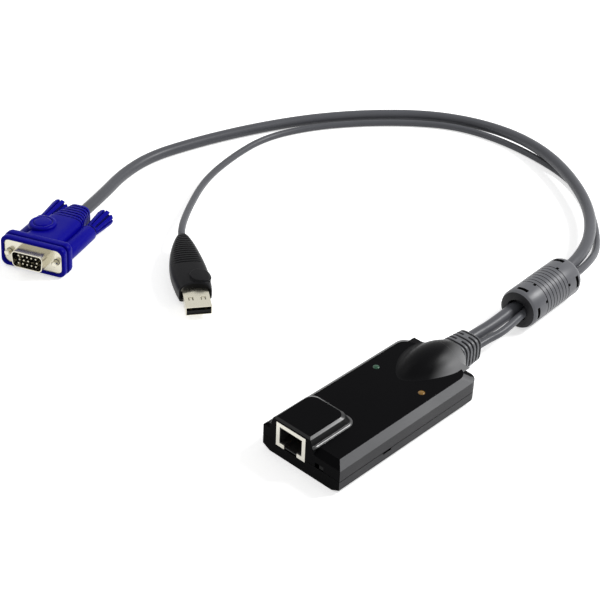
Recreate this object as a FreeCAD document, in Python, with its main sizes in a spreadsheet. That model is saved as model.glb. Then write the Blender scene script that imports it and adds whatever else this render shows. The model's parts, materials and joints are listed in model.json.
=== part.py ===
"""KVM adapter lead: a small moulded adapter box with a network jack, and a lead that passes through
one ferrite and ends in a VGA plug and a USB plug.

Frame of the adapter box: origin under the middle of the box, on the surface it stands on; +X to the
right of someone who looks into the jack, +Y from the jack towards the lead, +Z up.  Millimetres.
"""
import FreeCAD, Part
import math
import os

import Sketcher

Vector = FreeCAD.Vector

# Driving dimensions: (name, value, what it is).  All pieces take their sizes from these.
DIMENSIONS = [
    ("case_len", 88.0, "adapter box, front face to rear wall"),
    ("case_wid", 42.0, "adapter box, widest"),
    ("case_top", 14.2, "flat top above the ground"),
    ("seam_z", 6.3, "parting line between the covers"),
    ("seam_gap", 0.3, "shadow gap along the parting line"),
    ("side_top", 11.5, "height where the top bevel starts"),
    ("bevel_wid", 3.2, "top bevel, seen from above"),
    ("chamfer_wid", 3.9, "bottom chamfer along the sides"),
    ("chamfer_hgt", 1.9, "bottom chamfer height"),
    ("rear_rad", 4.3, "rear corners, seen from above"),
    ("top_rad", 3.0, "rear corners of the flat top"),
    ("foot_rad", 3.0, "rear corners on the ground"),
    ("inner_rad", 5.7, "rear corners inside the top cover's walls"),
    ("wall_thk", 1.8, "cover walls"),
    ("roof_thk", 1.8, "top cover roof"),
    ("floor_thk", 1.8, "bottom cover floor"),
    ("lip_thk", 0.9, "locating lip of the bottom cover"),
    ("lip_hgt", 1.0, "locating lip above the parting line"),
    ("lip_gap", 0.1, "clearance round the locating lip"),
    ("fit_gap", 0.1, "clearance of seated pieces"),
    ("block_top", 18.7, "raised jack block above the ground"),
    ("block_in", 5.6, "jack block, left edge on top, from the box's left side"),
    ("block_wid", 20.1, "jack block on top, across"),
    ("block_len", 22.3, "jack block on top, from the front face"),
    ("block_flare", 2.2, "jack block foot outside its top edge"),
    ("block_tail", 4.2, "jack block foot behind its top edge"),
    ("block_soft", 0.8, "softened top edge of the jack block"),
    ("jack_in", 15.2, "jack centre, from the box's left side"),
    ("jack_z", 5.05, "jack underside, on the board"),
    ("jack_wid", 16.0, "jack shield width"),
    ("jack_hgt", 11.8, "jack shield height"),
    ("jack_len", 21.0, "jack shield length"),
    ("shield_thk", 0.4, "jack shield sheet"),
    ("shield_rim", 1.9, "jack shield front rim"),
    ("cavity_wid", 11.9, "plug cavity width"),
    ("cavity_hgt", 7.6, "plug cavity height"),
    ("cavity_len", 13.0, "plug cavity depth"),
    ("latch_wid", 6.9, "latch slot width"),
    ("latch_sill", 0.5, "latch slot above the shield's floor"),
    ("wire_pitch", 1.02, "jack contact pitch"),
    ("wire_thk", 0.45, "jack contact wire"),
    ("boss_z", 8.1, "axis of the cable boss and boot"),
    ("boss_start", -25.7, "tip of the boss before the rear wall"),
    ("boss_crown", -7.0, "widest place of the boss before the rear wall"),
    ("boss_end", 7.5, "boss end behind the rear wall"),
    ("boss_rad", 11.7, "boss radius at its crown"),
    ("boss_nose", 8.0, "boss radius at its end"),
    ("boot_len", 13.0, "ribbed boot behind the boss"),
    ("boot_half", 7.15, "boot half width at the boss"),
    ("boot_tip", 6.35, "boot half width at the tip"),
    ("boot_round", 5.0, "boot corner radius"),
    ("boot_neck", 5.6, "boot neck radius inside the boss"),
    ("neck_flange", 7.0, "flange radius that keeps the boot in"),
    ("groove_wid", 0.7, "boot groove width"),
    ("groove_deep", 1.3, "boot groove depth"),
    ("groove_pitch", 2.5, "boot groove pitch"),
    ("board_thk", 1.6, "circuit board"),
    ("board_gap", 0.4, "circuit board to the cover"),
    ("board_tail", 6.5, "board's rear edge before the rear wall"),
    ("post_rad", 2.2, "board posts"),
    ("post_in", 3.5, "board posts from the board's edges"),
    ("window_in", 11.05, "switch window centre, from the box's right side"),
    ("window_wid", 4.6, "switch window width"),
    ("window_hgt", 2.2, "switch window height above the parting line"),
    ("switch_wid", 8.6, "switch body width"),
    ("switch_deep", 3.6, "switch body depth"),
    ("switch_wall", 0.5, "switch body sheet"),
    ("knob_wid", 2.2, "switch knob width"),
    ("knob_hgt", 1.6, "switch knob height"),
    ("knob_travel", 2.0, "switch travel"),
    ("slide_gap", 0.06, "running clearance of the switch knob"),
    ("lamp_in", 8.5, "light pipes, from the box's sides"),
    ("lamp_back", 28.7, "light pipes before the rear wall"),
    ("lamp_rad", 1.5, "light pipe radius"),
    ("lamp_proud", 0.5, "light pipe above the top"),
    ("led_hgt", 0.8, "surface lamp on the board"),
    ("ferrite_len", 41.0, "ferrite over its jacket"),
    ("ferrite_rad", 9.5, "ferrite jacket radius"),
    ("ferrite_y", 119.6, "ferrite centre"),
    ("ferrite_x", -1.73, "ferrite centre"),
    ("ferrite_yaw", 3.0, "ferrite turned, degrees"),
    ("jacket_thk", 1.5, "ferrite jacket wall"),
    ("jacket_end", 4.0, "ferrite jacket end wall"),
    ("jacket_round", 2.2, "rounded ends of the jacket"),
    ("bore_rad", 5.35, "bore through the ferrite"),
    ("ring_pitch", 2.5, "fine grooves round the jacket"),
    ("ring_deep", 0.3, "fine groove depth"),
    ("ring_wid", 0.4, "fine groove width"),
    ("slot_wid", 2.0, "jacket window width"),
    ("slot_len", 5.6, "jacket window, round the jacket"),
    ("hole_wid", 1.3, "small holes of the jacket"),
    ("vga_cable_dia", 6.0, "cable of the VGA plug"),
    ("usb_cable_dia", 3.6, "cable of the USB plug"),
    ("flange_wid", 31.0, "VGA flange"),
    ("flange_hgt", 12.6, "VGA flange"),
    ("flange_thk", 0.8, "VGA flange sheet"),
    ("screw_x", 12.5, "jackscrews off the centre line"),
    ("screw_rad", 1.42, "jackscrew, number 4 thread outside"),
    ("screw_gap", 0.08, "running clearance of the jackscrews"),
    ("screw_tip", 3.0, "jackscrew tip before the flange"),
    ("frame_rim", 1.5, "plug frame round the flange"),
    ("frame_front", 2.5, "front layer of the plug frame"),
    ("frame_step", 3.3, "start of the rear layer"),
    ("frame_back", 7.6, "back of the plug frame"),
    ("hood_half", 9.9, "hood half width at the frame"),
    ("hood_waist", 9.2, "hood half width before the ribs"),
    ("hood_hgt", 6.6, "hood half height"),
    ("hood_len", 32.0, "hood up to its ribs"),
    ("hood_tail", 47.0, "hood end"),
    ("tail_half", 5.6, "hood end half width"),
    ("rib_count", 5, "ribs on the hood's tail"),
    ("sleeve_rad", 4.1, "jackscrew sleeves"),
    ("sleeve_len", 32.5, "end of the sleeves"),
    ("knob_start", 33.1, "front of the screw knobs"),
    ("knob_len", 17.0, "screw knob length"),
    ("knob_small", 3.3, "screw knob radius at its front"),
    ("knob_big", 4.5, "screw knob radius at its end"),
    ("shell_wid", 16.9, "plug shell outside width"),
    ("shell_hgt", 8.36, "plug shell outside height"),
    ("shell_len", 5.9, "plug shell before the flange"),
    ("shell_slant", 0.75, "slant of the shell's sides, each"),
    ("shell_round", 2.2, "plug shell corners"),
    ("sheet_thk", 0.45, "plug shell sheet"),
    ("pin_rad", 0.4, "plug pins"),
    ("pin_len", 5.0, "plug pins above the insulator"),
    ("pin_pitch", 2.29, "plug pins along a row"),
    ("row_pitch", 1.98, "plug pin rows"),
    ("usb_wid", 12.0, "USB shell"),
    ("usb_hgt", 4.5, "USB shell"),
    ("usb_thk", 0.3, "USB shell sheet"),
    ("usb_deep", 22.0, "USB shell, mouth to its root"),
    ("grip_start", 10.5, "USB grip from the mouth"),
    ("grip_len", 49.0, "USB grip length"),
    ("grip_half", 8.9, "USB grip half width"),
    ("grip_hgt", 5.1, "USB grip half height"),
    ("grip_rib", 0.9, "USB grip rib grooves"),
    ("tongue_hgt", 1.9, "USB insulator in its mouth"),
]


class Size:
    """A number with the spreadsheet expression that it comes from."""

    def __init__(self, value, text):
        self.value = float(value)
        self.text = text

    def _join(self, other, sign, value):
        return Size(value, f"({self.text} {sign} {as_size(other).text})")

    def __add__(self, other):
        return self._join(other, "+", self.value + as_size(other).value)

    def __sub__(self, other):
        return self._join(other, "-", self.value - as_size(other).value)

    def __mul__(self, other):
        return self._join(other, "*", self.value * as_size(other).value)

    def __truediv__(self, other):
        return self._join(other, "/", self.value / as_size(other).value)

    def __radd__(self, other):
        return as_size(other) + self

    def __rsub__(self, other):
        return as_size(other) - self

    def __rmul__(self, other):
        return as_size(other) * self

    def __neg__(self):
        return as_size(0) - self


def as_size(number):
    return number if isinstance(number, Size) else Size(number, repr(float(number)))


class Dimensions:
    """The driving dimensions by name, as expressions on the document's spreadsheet."""

    def __init__(self, doc):
        sheet = doc.addObject("Spreadsheet::Sheet", "Sizes")
        for row, (name, value, note) in enumerate(DIMENSIONS, start=1):
            sheet.set(f"A{row}", note)
            sheet.set(f"B{row}", str(value))
            sheet.setAlias(f"B{row}", name)
            setattr(self, name, Size(value, f"Sizes.{name}"))
        doc.recompute()


doc = FreeCAD.newDocument("kvm_adapter")
D = Dimensions(doc)


# ---------------------------------------------------------------------------- building helpers

def bind(feature, field, number):
    """Drive a property by its expression."""
    feature.setExpression(field, as_size(number).text)


def new_body(label):
    body = doc.addObject("PartDesign::Body", label)
    body.Label = label
    return body


def attach(feature, body, plane, shift=(0, 0, 0)):
    """Seat a sketch or primitive on one of its own body's origin planes, shifted in that plane's axes."""
    planes = {item.Role: item for item in body.Origin.OriginFeatures}
    feature.AttachmentSupport = [(planes[plane], "")]
    feature.MapMode = "FlatFace"
    for axis, number in zip("xyz", shift):
        bind(feature, f"AttachmentOffset.Base.{axis}", number)


def new_sketch(body, plane, level=0):
    sketch = body.newObject("Sketcher::SketchObject", body.Name + "_sketch")
    attach(sketch, body, plane, (0, 0, level))
    return sketch


def hold_point(sketch, edge, end, u, v):
    """Fix one end of a sketch edge by its distances from the sketch origin."""
    for kind, number in (("DistanceX", as_size(u)), ("DistanceY", as_size(v))):
        index = sketch.addConstraint(Sketcher.Constraint(kind, -1, 1, edge, end, number.value))
        sketch.setExpression(f"Constraints[{index}]", number.text)


def hold_radius(sketch, edge, radius):
    index = sketch.addConstraint(Sketcher.Constraint("Radius", edge, as_size(radius).value))
    sketch.setExpression(f"Constraints[{index}]", as_size(radius).text)


def unit_step(start, end):
    """Direction from one corner to the next, as plain numbers."""
    step = Vector(end[0].value - start[0].value, end[1].value - start[1].value, 0).normalize()
    return round(step.x, 9), round(step.y, 9)


def draw_outline(sketch, corners):
    """Closed outline through (u, v) corners; a corner (u, v, r) is rounded by an arc of that radius."""
    corners = [tuple(as_size(number) for number in corner) for corner in corners]
    count = len(corners)
    entries, exits, arcs = [], [], []
    for index, corner in enumerate(corners):
        if len(corner) == 2:
            entries.append(corner)
            exits.append(corner)
            arcs.append(None)
            continue
        u, v, radius = corner
        back = unit_step(corner, corners[index - 1])
        ahead = unit_step(corner, corners[(index + 1) % count])
        half_cos = back[0] * ahead[0] + back[1] * ahead[1]
        reach = round(math.sqrt((1 + half_cos) / (1 - half_cos)), 9)       # 1 / tan(half the corner)
        depth = round((reach + 1 / reach) / 2, 9)
        entries.append((u + back[0] * reach * radius, v + back[1] * reach * radius))
        exits.append((u + ahead[0] * reach * radius, v + ahead[1] * reach * radius))
        inward = (back[0] + ahead[0]) * depth, (back[1] + ahead[1]) * depth
        arcs.append(((u + inward[0] * radius, v + inward[1] * radius), radius))
    lines = []
    for index in range(count):
        start, end = exits[index], entries[(index + 1) % count]
        line = Part.LineSegment(Vector(start[0].value, start[1].value, 0), Vector(end[0].value, end[1].value, 0))
        lines.append(sketch.addGeometry(line, False))
    for index, arc in enumerate(arcs):
        before, after = lines[index - 1], lines[index]
        hold_point(sketch, after, 1, *exits[index])
        if arc is None:
            sketch.addConstraint(Sketcher.Constraint("Coincident", before, 2, after, 1))
            continue
        (cu, cv), radius = arc
        angle_in = math.atan2(entries[index][1].value - cv.value, entries[index][0].value - cu.value)
        angle_out = math.atan2(exits[index][1].value - cv.value, exits[index][0].value - cu.value)
        turns_left = math.sin(angle_out - angle_in) > 0
        first, last = (angle_in, angle_out) if turns_left else (angle_out, angle_in)
        if last < first:
            last += 2 * math.pi
        circle = Part.Circle(Vector(cu.value, cv.value, 0), Vector(0, 0, 1), radius.value)
        bend = sketch.addGeometry(Part.ArcOfCircle(circle, first, last), False)
        hold_point(sketch, before, 2, *entries[index])
        starts, ends = (before, after) if turns_left else (after, before)
        sketch.addConstraint(Sketcher.Constraint("Coincident", bend, 1, starts, 2 if turns_left else 1))
        sketch.addConstraint(Sketcher.Constraint("Coincident", bend, 2, ends, 1 if turns_left else 2))
        hold_radius(sketch, bend, radius)
    return sketch


def rectangle(half_u, v0, v1, radius=None):
    """Corners of a rectangle about the v axis, rounded alike."""
    corners = [(-half_u, v0), (half_u, v0), (half_u, v1), (-half_u, v1)]
    return corners if radius is None else [corner + (radius,) for corner in corners]


def sketch_circle(sketch, u, v, radius):
    centre = Vector(as_size(u).value, as_size(v).value, 0)
    edge = sketch.addGeometry(Part.Circle(centre, Vector(0, 0, 1), as_size(radius).value), False)
    hold_point(sketch, edge, 3, u, v)
    hold_radius(sketch, edge, radius)
    return sketch


def extrude(body, kind, sketch, length, reverse=False):
    """Pad or Pocket along the sketch normal; a Pocket cuts against it unless reversed."""
    feature = body.newObject(f"PartDesign::{kind}", f"{body.Name}_{kind}")
    feature.Profile = sketch
    feature.Reversed = reverse
    bind(feature, "Length", length)
    return feature


def spin(body, kind, sketch, axis="H_Axis"):
    """Revolution or Groove of a half section about a sketch axis."""
    feature = body.newObject(f"PartDesign::{kind}", f"{body.Name}_{kind}")
    feature.Profile = sketch
    feature.ReferenceAxis = (sketch, [axis])
    feature.Angle = 360
    return feature


def loft(body, kind, sketches, ruled=True):
    feature = body.newObject(f"PartDesign::{kind}Loft", f"{body.Name}_{kind}Loft")
    feature.Profile = sketches[0]
    feature.Sections = sketches[1:]
    feature.Ruled = ruled
    return feature


def block(body, kind, low, high):
    """Additive or Subtractive box between two corners of the body's own frame."""
    feature = body.newObject(f"PartDesign::{kind}Box", f"{body.Name}_{kind}Box")
    attach(feature, body, "XY_Plane", low)
    for field, start, end in zip(("Length", "Width", "Height"), low, high):
        bind(feature, field, as_size(end) - start)
    return feature


def drum(body, kind, axis, centre, start, end, radius):
    """Additive or Subtractive cylinder along the body's Y or Z axis."""
    feature = body.newObject(f"PartDesign::{kind}Cylinder", f"{body.Name}_{kind}Cylinder")
    if axis == "Z":
        attach(feature, body, "XY_Plane", (centre[0], centre[1], start))
    else:
        attach(feature, body, "XZ_Plane", (centre[0], centre[1], -as_size(end)))
    bind(feature, "Radius", radius)
    bind(feature, "Height", as_size(end) - start)
    return feature


def simple_box(name, low, high):
    """A Part box between two corners."""
    feature = doc.addObject("Part::Box", name)
    for axis, field, start, end in zip("xyz", ("Length", "Width", "Height"), low, high):
        bind(feature, f"Placement.Base.{axis}", start)
        bind(feature, field, as_size(end) - start)
    return feature


def simple_rod(name, centre, start, end, radius):
    """A Part cylinder along +Y from start to end, centre given as (x, z)."""
    feature = doc.addObject("Part::Cylinder", name)
    feature.Placement = FreeCAD.Placement(Vector(), FreeCAD.Rotation(Vector(1, 0, 0), -90))
    bind(feature, "Placement.Base.x", centre[0])
    bind(feature, "Placement.Base.y", start)
    bind(feature, "Placement.Base.z", centre[1])
    bind(feature, "Radius", radius)
    bind(feature, "Height", as_size(end) - start)
    return feature


def group(label, pieces):
    """Several like solids in one node."""
    feature = doc.addObject("Part::Compound", label)
    feature.Links = pieces
    feature.Label = label
    return feature


def turned(label, stations):
    """A piece turned about its own Y axis, from (y, radius) stations; radius 0 at both ends closes it."""
    body = new_body(label)
    spin(body, "Revolution", draw_outline(new_sketch(body, "YZ_Plane"), stations))
    return body


# ---------------------------------------------------------------------------- places they share

FRONT = -D.case_len / 2                     # front face of the box
REAR = D.case_len / 2                       # rear wall of the box
HALF = D.case_wid / 2
BOTTOM_WALL = D.wall_thk + D.lip_gap + D.lip_thk
SEAM_LOW = D.seam_z - D.seam_gap            # top edge of the bottom cover
BOARD_TOP = D.jack_z
BOARD_LOW = D.jack_z - D.board_thk
BOARD_HALF = HALF - BOTTOM_WALL - D.board_gap
BOARD_FRONT = FRONT + BOTTOM_WALL + D.board_gap
BOARD_REAR = REAR - D.board_tail
BOSS_END = REAR + D.boss_end
BOOT_END = BOSS_END + D.boot_len
JACK_X = D.jack_in - HALF
JACK_LEFT = JACK_X - D.jack_wid / 2
JACK_RIGHT = JACK_X + D.jack_wid / 2
BLOCK_LEFT = D.block_in - HALF
BLOCK_RIGHT = BLOCK_LEFT + D.block_wid
JACK_TOP = D.jack_z + D.jack_hgt
CAVITY_TOP = JACK_TOP - D.shield_rim
WINDOW_X = HALF - D.window_in
WINDOW_LEFT = WINDOW_X - D.window_wid / 2
WINDOW_RIGHT = WINDOW_X + D.window_wid / 2
WINDOW_TOP = D.seam_z + D.window_hgt
LAMP_X = HALF - D.lamp_in
LAMP_Y = REAR - D.lamp_back
KNOB_MID_Z = D.seam_z + D.window_hgt / 2 - 0.1
SWITCH_FRONT = FRONT + D.wall_thk + 0.3
NECK_FRONT = BOSS_END - D.wall_thk - 0.1    # the wall that the boot's neck passes


# ---------------------------------------------------------------------------- adapter covers

def inner_radius(inset):
    """Rear corner inside the covers: it stays parallel to the top cover's inner wall."""
    return D.inner_rad + D.wall_thk - inset


def case_outline(body, level, inset, rear_inset=None, front_inset=None, radius=None):
    """Plan outline of the box at a height, moved in by inset: square front corners, round rear ones."""
    rear_inset = inset if rear_inset is None else rear_inset
    front_inset = inset if front_inset is None else front_inset
    half = HALF - inset
    radius = inner_radius(rear_inset) if radius is None else radius
    front, rear = FRONT + front_inset, REAR - rear_inset
    corners = [(-half, front), (half, front), (half, rear, radius), (-half, rear, radius)]
    return draw_outline(new_sketch(body, "XY_Plane", level), corners)


def boss_profile(body, inset, start_trim, end):
    """Half section of the boss about its axis: two arcs that meet level at the crown."""
    sketch = new_sketch(body, "YZ_Plane")
    crown = REAR + D.boss_crown
    top = D.boss_rad - inset
    tip_y, tip_r = REAR + D.boss_start + start_trim, (D.case_top - D.boss_z) - inset
    end_r = D.boss_nose - inset
    tip_run, end_run = crown - tip_y, end - crown
    # radius of an arc that is level at its crown and drops by (top - r) over its run
    tip_arc = (tip_run * tip_run + (top - tip_r) * (top - tip_r)) / (2 * (top - tip_r))
    end_arc = (end_run * end_run + (top - end_r) * (top - end_r)) / (2 * (top - end_r))
    points = [(tip_y, 0), (end, 0), (end, end_r), (crown, top), (tip_y, tip_r)]
    base = D.boss_z
    places = [Vector(as_size(u).value, base.value + as_size(v).value, 0) for u, v in points]
    axis_line = sketch.addGeometry(Part.LineSegment(places[0], places[1]), False)
    end_line = sketch.addGeometry(Part.LineSegment(places[1], places[2]), False)
    tip_line = sketch.addGeometry(Part.LineSegment(places[4], places[0]), False)
    hold_point(sketch, axis_line, 1, tip_y, base)
    hold_point(sketch, axis_line, 2, end, base)
    for edge in (end_line, tip_line):
        sketch.addConstraint(Sketcher.Constraint("Vertical", edge))
    arcs = []
    for radius, low, high in ((end_arc, places[2], places[3]), (tip_arc, places[3], places[4])):
        centre = Vector(crown.value, base.value + top.value - radius.value, 0)
        first = math.atan2(low.y - centre.y, low.x - centre.x)
        last = math.atan2(high.y - centre.y, high.x - centre.x)
        circle = Part.Circle(centre, Vector(0, 0, 1), radius.value)
        arcs.append(sketch.addGeometry(Part.ArcOfCircle(circle, first, last), False))
        hold_point(sketch, arcs[-1], 3, crown, base + top - radius)
    hold_point(sketch, arcs[0], 2, crown, base + top)
    ends = [(axis_line, 2, end_line, 1), (end_line, 2, arcs[0], 1), (arcs[0], 2, arcs[1], 1),
            (arcs[1], 2, tip_line, 1), (tip_line, 2, axis_line, 1)]
    for first, first_end, second, second_end in ends:
        sketch.addConstraint(Sketcher.Constraint("Coincident", first, first_end, second, second_end))
    return sketch


def spin_about_line(body, kind, sketch, edge_index=0):
    feature = spin(body, kind, sketch)
    feature.ReferenceAxis = (sketch, [f"Edge{edge_index + 1}"])
    return feature


def boot_seat(body):
    """Round opening for the boot's neck, with the groove that its flange sits in."""
    gap = D.fit_gap
    drum(body, "Subtractive", "Y", (0, D.boss_z), BOSS_END - D.wall_thk - 1, BOSS_END + 1, D.boot_neck + gap)


def cut_for_jack(body):
    gap = D.fit_gap
    low = (JACK_LEFT - gap, FRONT - 1, D.jack_z - gap)
    high = (JACK_RIGHT + gap, FRONT + D.jack_len + gap, JACK_TOP + gap)
    block(body, "Subtractive", low, high)


def build_top_cover():
    body = new_body("top_cover")
    levels = [(D.seam_z, 0, D.rear_rad), (D.side_top, 0, D.rear_rad), (D.case_top, D.bevel_wid, D.top_rad)]
    loft(body, "Additive", [case_outline(body, z, as_size(inset), radius=radius) for z, inset, radius in levels])
    # raised block over the jack: its foot flares out, its top edge is softened
    soft, flare, tail = D.block_soft, D.block_flare, D.block_tail
    drop = D.block_top - D.side_top
    share = soft / drop
    plans = [
        (D.side_top, flare, tail, 0),
        (D.block_top - soft, flare * share, tail * share, 0),
        (D.block_top, -soft, -soft, soft),
    ]
    sketches = []
    for level, grow, grow_tail, set_back in plans:
        left, right = BLOCK_LEFT - grow, BLOCK_RIGHT + grow
        rear = FRONT + D.block_len + grow_tail
        corners = [(left, FRONT + set_back), (right, FRONT + set_back), (right, rear, 4), (left, rear, 4)]
        sketches.append(draw_outline(new_sketch(body, "XY_Plane", level), corners))
    loft(body, "Additive", sketches)
    spin_about_line(body, "Revolution", boss_profile(body, as_size(0), as_size(0), BOSS_END))
    trim = draw_outline(new_sketch(body, "XY_Plane", D.seam_z), rectangle(HALF + 5, FRONT - 5, BOSS_END + 5))
    extrude(body, "Pocket", trim, D.boss_rad + 10)
    # hollow inside
    wall = D.wall_thk
    inner = [(D.seam_z, wall, None), (D.side_top, wall, None),
             (D.case_top - D.roof_thk, wall + D.bevel_wid, D.top_rad - wall)]
    loft(body, "Subtractive", [case_outline(body, z, inset, radius=radius) for z, inset, radius in inner])
    spin_about_line(body, "Groove", boss_profile(body, wall, wall, BOSS_END - wall))
    drum(body, "Subtractive", "Y", (0, D.boss_z), NECK_FRONT - 1.6, BOSS_END - wall, D.neck_flange + 0.2)
    boot_seat(body)
    cut_for_jack(body)
    # window of the slide switch, open at the parting line
    block(body, "Subtractive", (WINDOW_LEFT, FRONT - 1, D.seam_z - 1), (WINDOW_RIGHT, FRONT + wall + 1, WINDOW_TOP))
    for side in (-1, 1):
        centre = (side * LAMP_X, LAMP_Y)
        drum(body, "Subtractive", "Z", centre, D.seam_z, D.case_top + 1, D.lamp_rad + 0.05)
    return body


def build_bottom_cover():
    body = new_body("bottom_cover")
    chamfer = D.chamfer_wid
    levels = [(0, chamfer, D.foot_rad), (D.chamfer_hgt, 0, D.rear_rad), (SEAM_LOW, 0, D.rear_rad)]
    outlines = [case_outline(body, as_size(z), as_size(inset), front_inset=as_size(0), radius=radius)
                for z, inset, radius in levels]
    loft(body, "Additive", outlines)
    spin_about_line(body, "Revolution", boss_profile(body, as_size(0), as_size(0), BOSS_END))
    plan = rectangle(HALF + 5, FRONT - 5, BOSS_END + 5)
    extrude(body, "Pocket", draw_outline(new_sketch(body, "XY_Plane", SEAM_LOW), plan), D.boss_rad + 20, reverse=True)
    extrude(body, "Pocket", draw_outline(new_sketch(body, "XY_Plane"), plan), D.boss_rad)
    # locating lip, then the hollow inside it
    lip = draw_outline(new_sketch(body, "XY_Plane", SEAM_LOW), lip_corners(D.wall_thk + D.lip_gap))
    extrude(body, "Pad", lip, D.seam_gap + D.lip_hgt)
    inner = [(D.floor_thk, BOTTOM_WALL + D.bevel_wid), (D.floor_thk + 1.2, BOTTOM_WALL),
             (D.seam_z + D.lip_hgt, BOTTOM_WALL)]
    loft(body, "Subtractive", [case_outline(body, as_size(z), inset, front_inset=BOTTOM_WALL) for z, inset in inner])
    drum(body, "Subtractive", "Y", (0, D.boss_z), REAR - 8, BOSS_END - D.wall_thk, D.neck_flange + 0.2)
    boot_seat(body)
    cut_for_jack(body)
    # the window behind the top cover's wall, and room for the switch body
    side = D.switch_wid / 2 + D.fit_gap
    block(body, "Subtractive", (WINDOW_X - side, FRONT + D.wall_thk / 2, SEAM_LOW),
          (WINDOW_X + side, FRONT + BOTTOM_WALL + 1, WINDOW_TOP))
    block(body, "Subtractive", (WINDOW_X - side, SWITCH_FRONT - D.fit_gap, BOARD_TOP - D.fit_gap),
          (WINDOW_X + side, FRONT + BOTTOM_WALL + 1, WINDOW_TOP))
    for side in (-1, 1):
        for y in (BOARD_FRONT + D.jack_len + 3, BOARD_REAR - D.post_in):
            centre = (side * (BOARD_HALF - D.post_in), y)
            drum(body, "Additive", "Z", centre, D.floor_thk / 2, BOARD_LOW, D.post_rad)
        # finger-nail notch in the parting line
        edge = HALF * side
        low, high = (edge - 0.9, edge + 1) if side > 0 else (edge - 1, edge + 0.9)
        block(body, "Subtractive", (low, -18, SEAM_LOW - 0.9), (high, -13, SEAM_LOW + 0.2))
    return body


def lip_corners(inset):
    half, radius = HALF - inset, inner_radius(inset)
    return [(-half, FRONT + inset), (half, FRONT + inset), (half, REAR - inset, radius), (-half, REAR - inset, radius)]


# ---------------------------------------------------------------------------- adapter insides

def build_board():
    body = new_body("circuit_board")
    cut = 4
    corners = [(-BOARD_HALF, BOARD_FRONT), (BOARD_HALF, BOARD_FRONT), (BOARD_HALF, BOARD_REAR - cut),
               (BOARD_HALF - cut, BOARD_REAR), (-BOARD_HALF + cut, BOARD_REAR), (-BOARD_HALF, BOARD_REAR - cut)]
    extrude(body, "Pad", draw_outline(new_sketch(body, "XY_Plane", BOARD_LOW), corners), D.board_thk)
    return body


def build_board_parts():
    top = BOARD_TOP
    chips = [
        simple_box("video_chip", (-9, -14, top), (5, 0, top + 1.4)),
        simple_box("control_chip", (-6, 6, top), (4, 16, top + 1.2)),
        simple_box("memory_chip", (8, -8, top), (14, -2, top + 1.0)),
        simple_box("crystal", (-15, 2, top), (-11, 7, top + 1.8)),
    ]
    group("board_chips", chips)
    header_rear = BOARD_REAR - 1
    header = new_body("cable_header")
    block(header, "Additive", (-8, header_rear - 6, top), (8, header_rear, top + 5.5))
    block(header, "Subtractive", (-7, header_rear - 5, top + 1), (7, header_rear - 1, top + 6))
    leads = []
    for name, x, radius in (("video_leads", -VGA_SIDE, 2.2), ("bus_leads", USB_SIDE, 1.5)):
        leads.append(simple_rod(name, (x, D.boss_z), header_rear, BOSS_END - D.wall_thk - 1.6, radius))
    group("cable_leads", leads)
    leds = []
    for name, side in (("left_led", -1), ("right_led", 1)):
        x, y = side * LAMP_X, LAMP_Y
        leds.append(simple_box(name, (x - 0.8, y - 0.4, top), (x + 0.8, y + 0.4, top + D.led_hgt)))
    group("status_leds", leds)
    for label, side in (("green_light_pipe", -1), ("amber_light_pipe", 1)):
        pipe = new_body(label)
        x, y = side * LAMP_X, LAMP_Y
        low = top + D.led_hgt + 0.1
        drum(pipe, "Additive", "Z", (x, y), low, D.case_top, D.lamp_rad)
        dome = pipe.newObject("PartDesign::AdditiveEllipsoid", label + "_dome")
        attach(dome, pipe, "XY_Plane", (x, y, D.case_top))
        bind(dome, "Radius1", D.lamp_proud)
        bind(dome, "Radius2", D.lamp_rad)
        bind(dome, "Radius3", D.lamp_rad)


def build_jack():
    sheet, rim, gap = D.shield_thk, D.shield_rim, D.fit_gap
    back = FRONT + D.jack_len
    shield = new_body("rj45_shield")
    block(shield, "Additive", (JACK_LEFT, FRONT, D.jack_z), (JACK_RIGHT, back, JACK_TOP))
    block(shield, "Subtractive", (JACK_LEFT + sheet, FRONT + sheet, D.jack_z + sheet),
          (JACK_RIGHT - sheet, back - sheet, JACK_TOP - sheet))
    block(shield, "Subtractive", (JACK_LEFT + rim, FRONT - 1, D.jack_z + rim),
          (JACK_RIGHT - rim, FRONT + 1, CAVITY_TOP))
    latch_left, latch_right = JACK_X - D.latch_wid / 2, JACK_X + D.latch_wid / 2
    block(shield, "Subtractive", (latch_left, FRONT - 1, D.jack_z - 1), (latch_right, FRONT + 1, D.jack_z + rim + 1))
    insert = new_body("rj45_insert")
    edge = sheet + 0.05
    block(insert, "Additive", (JACK_LEFT + edge, FRONT + edge, D.jack_z + edge),
          (JACK_RIGHT - edge, back - edge, JACK_TOP - edge))
    cavity_left, cavity_right = JACK_X - D.cavity_wid / 2, JACK_X + D.cavity_wid / 2
    cavity_back = FRONT + D.cavity_len
    block(insert, "Subtractive", (cavity_left, FRONT - 1, CAVITY_TOP - D.cavity_hgt),
          (cavity_right, cavity_back, CAVITY_TOP))
    block(insert, "Subtractive", (latch_left, FRONT - 1, D.jack_z + edge + D.latch_sill),
          (latch_right, cavity_back, CAVITY_TOP))
    contacts = new_body("rj45_contacts")
    left = JACK_X - 3.5 * D.wire_pitch - D.wire_thk / 2
    sketch = new_sketch(contacts, "YZ_Plane", left)
    root, tip = cavity_back, FRONT + 4
    high, low, thick = CAVITY_TOP - gap, CAVITY_TOP - 2.6, D.wire_thk
    draw_outline(sketch, [(tip, high - thick), (root - 4, low - thick), (root, low - thick), (root, low),
                          (root - 4, low), (tip, high)])
    extrude(contacts, "Pad", sketch, D.wire_thk)
    return contacts


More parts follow.
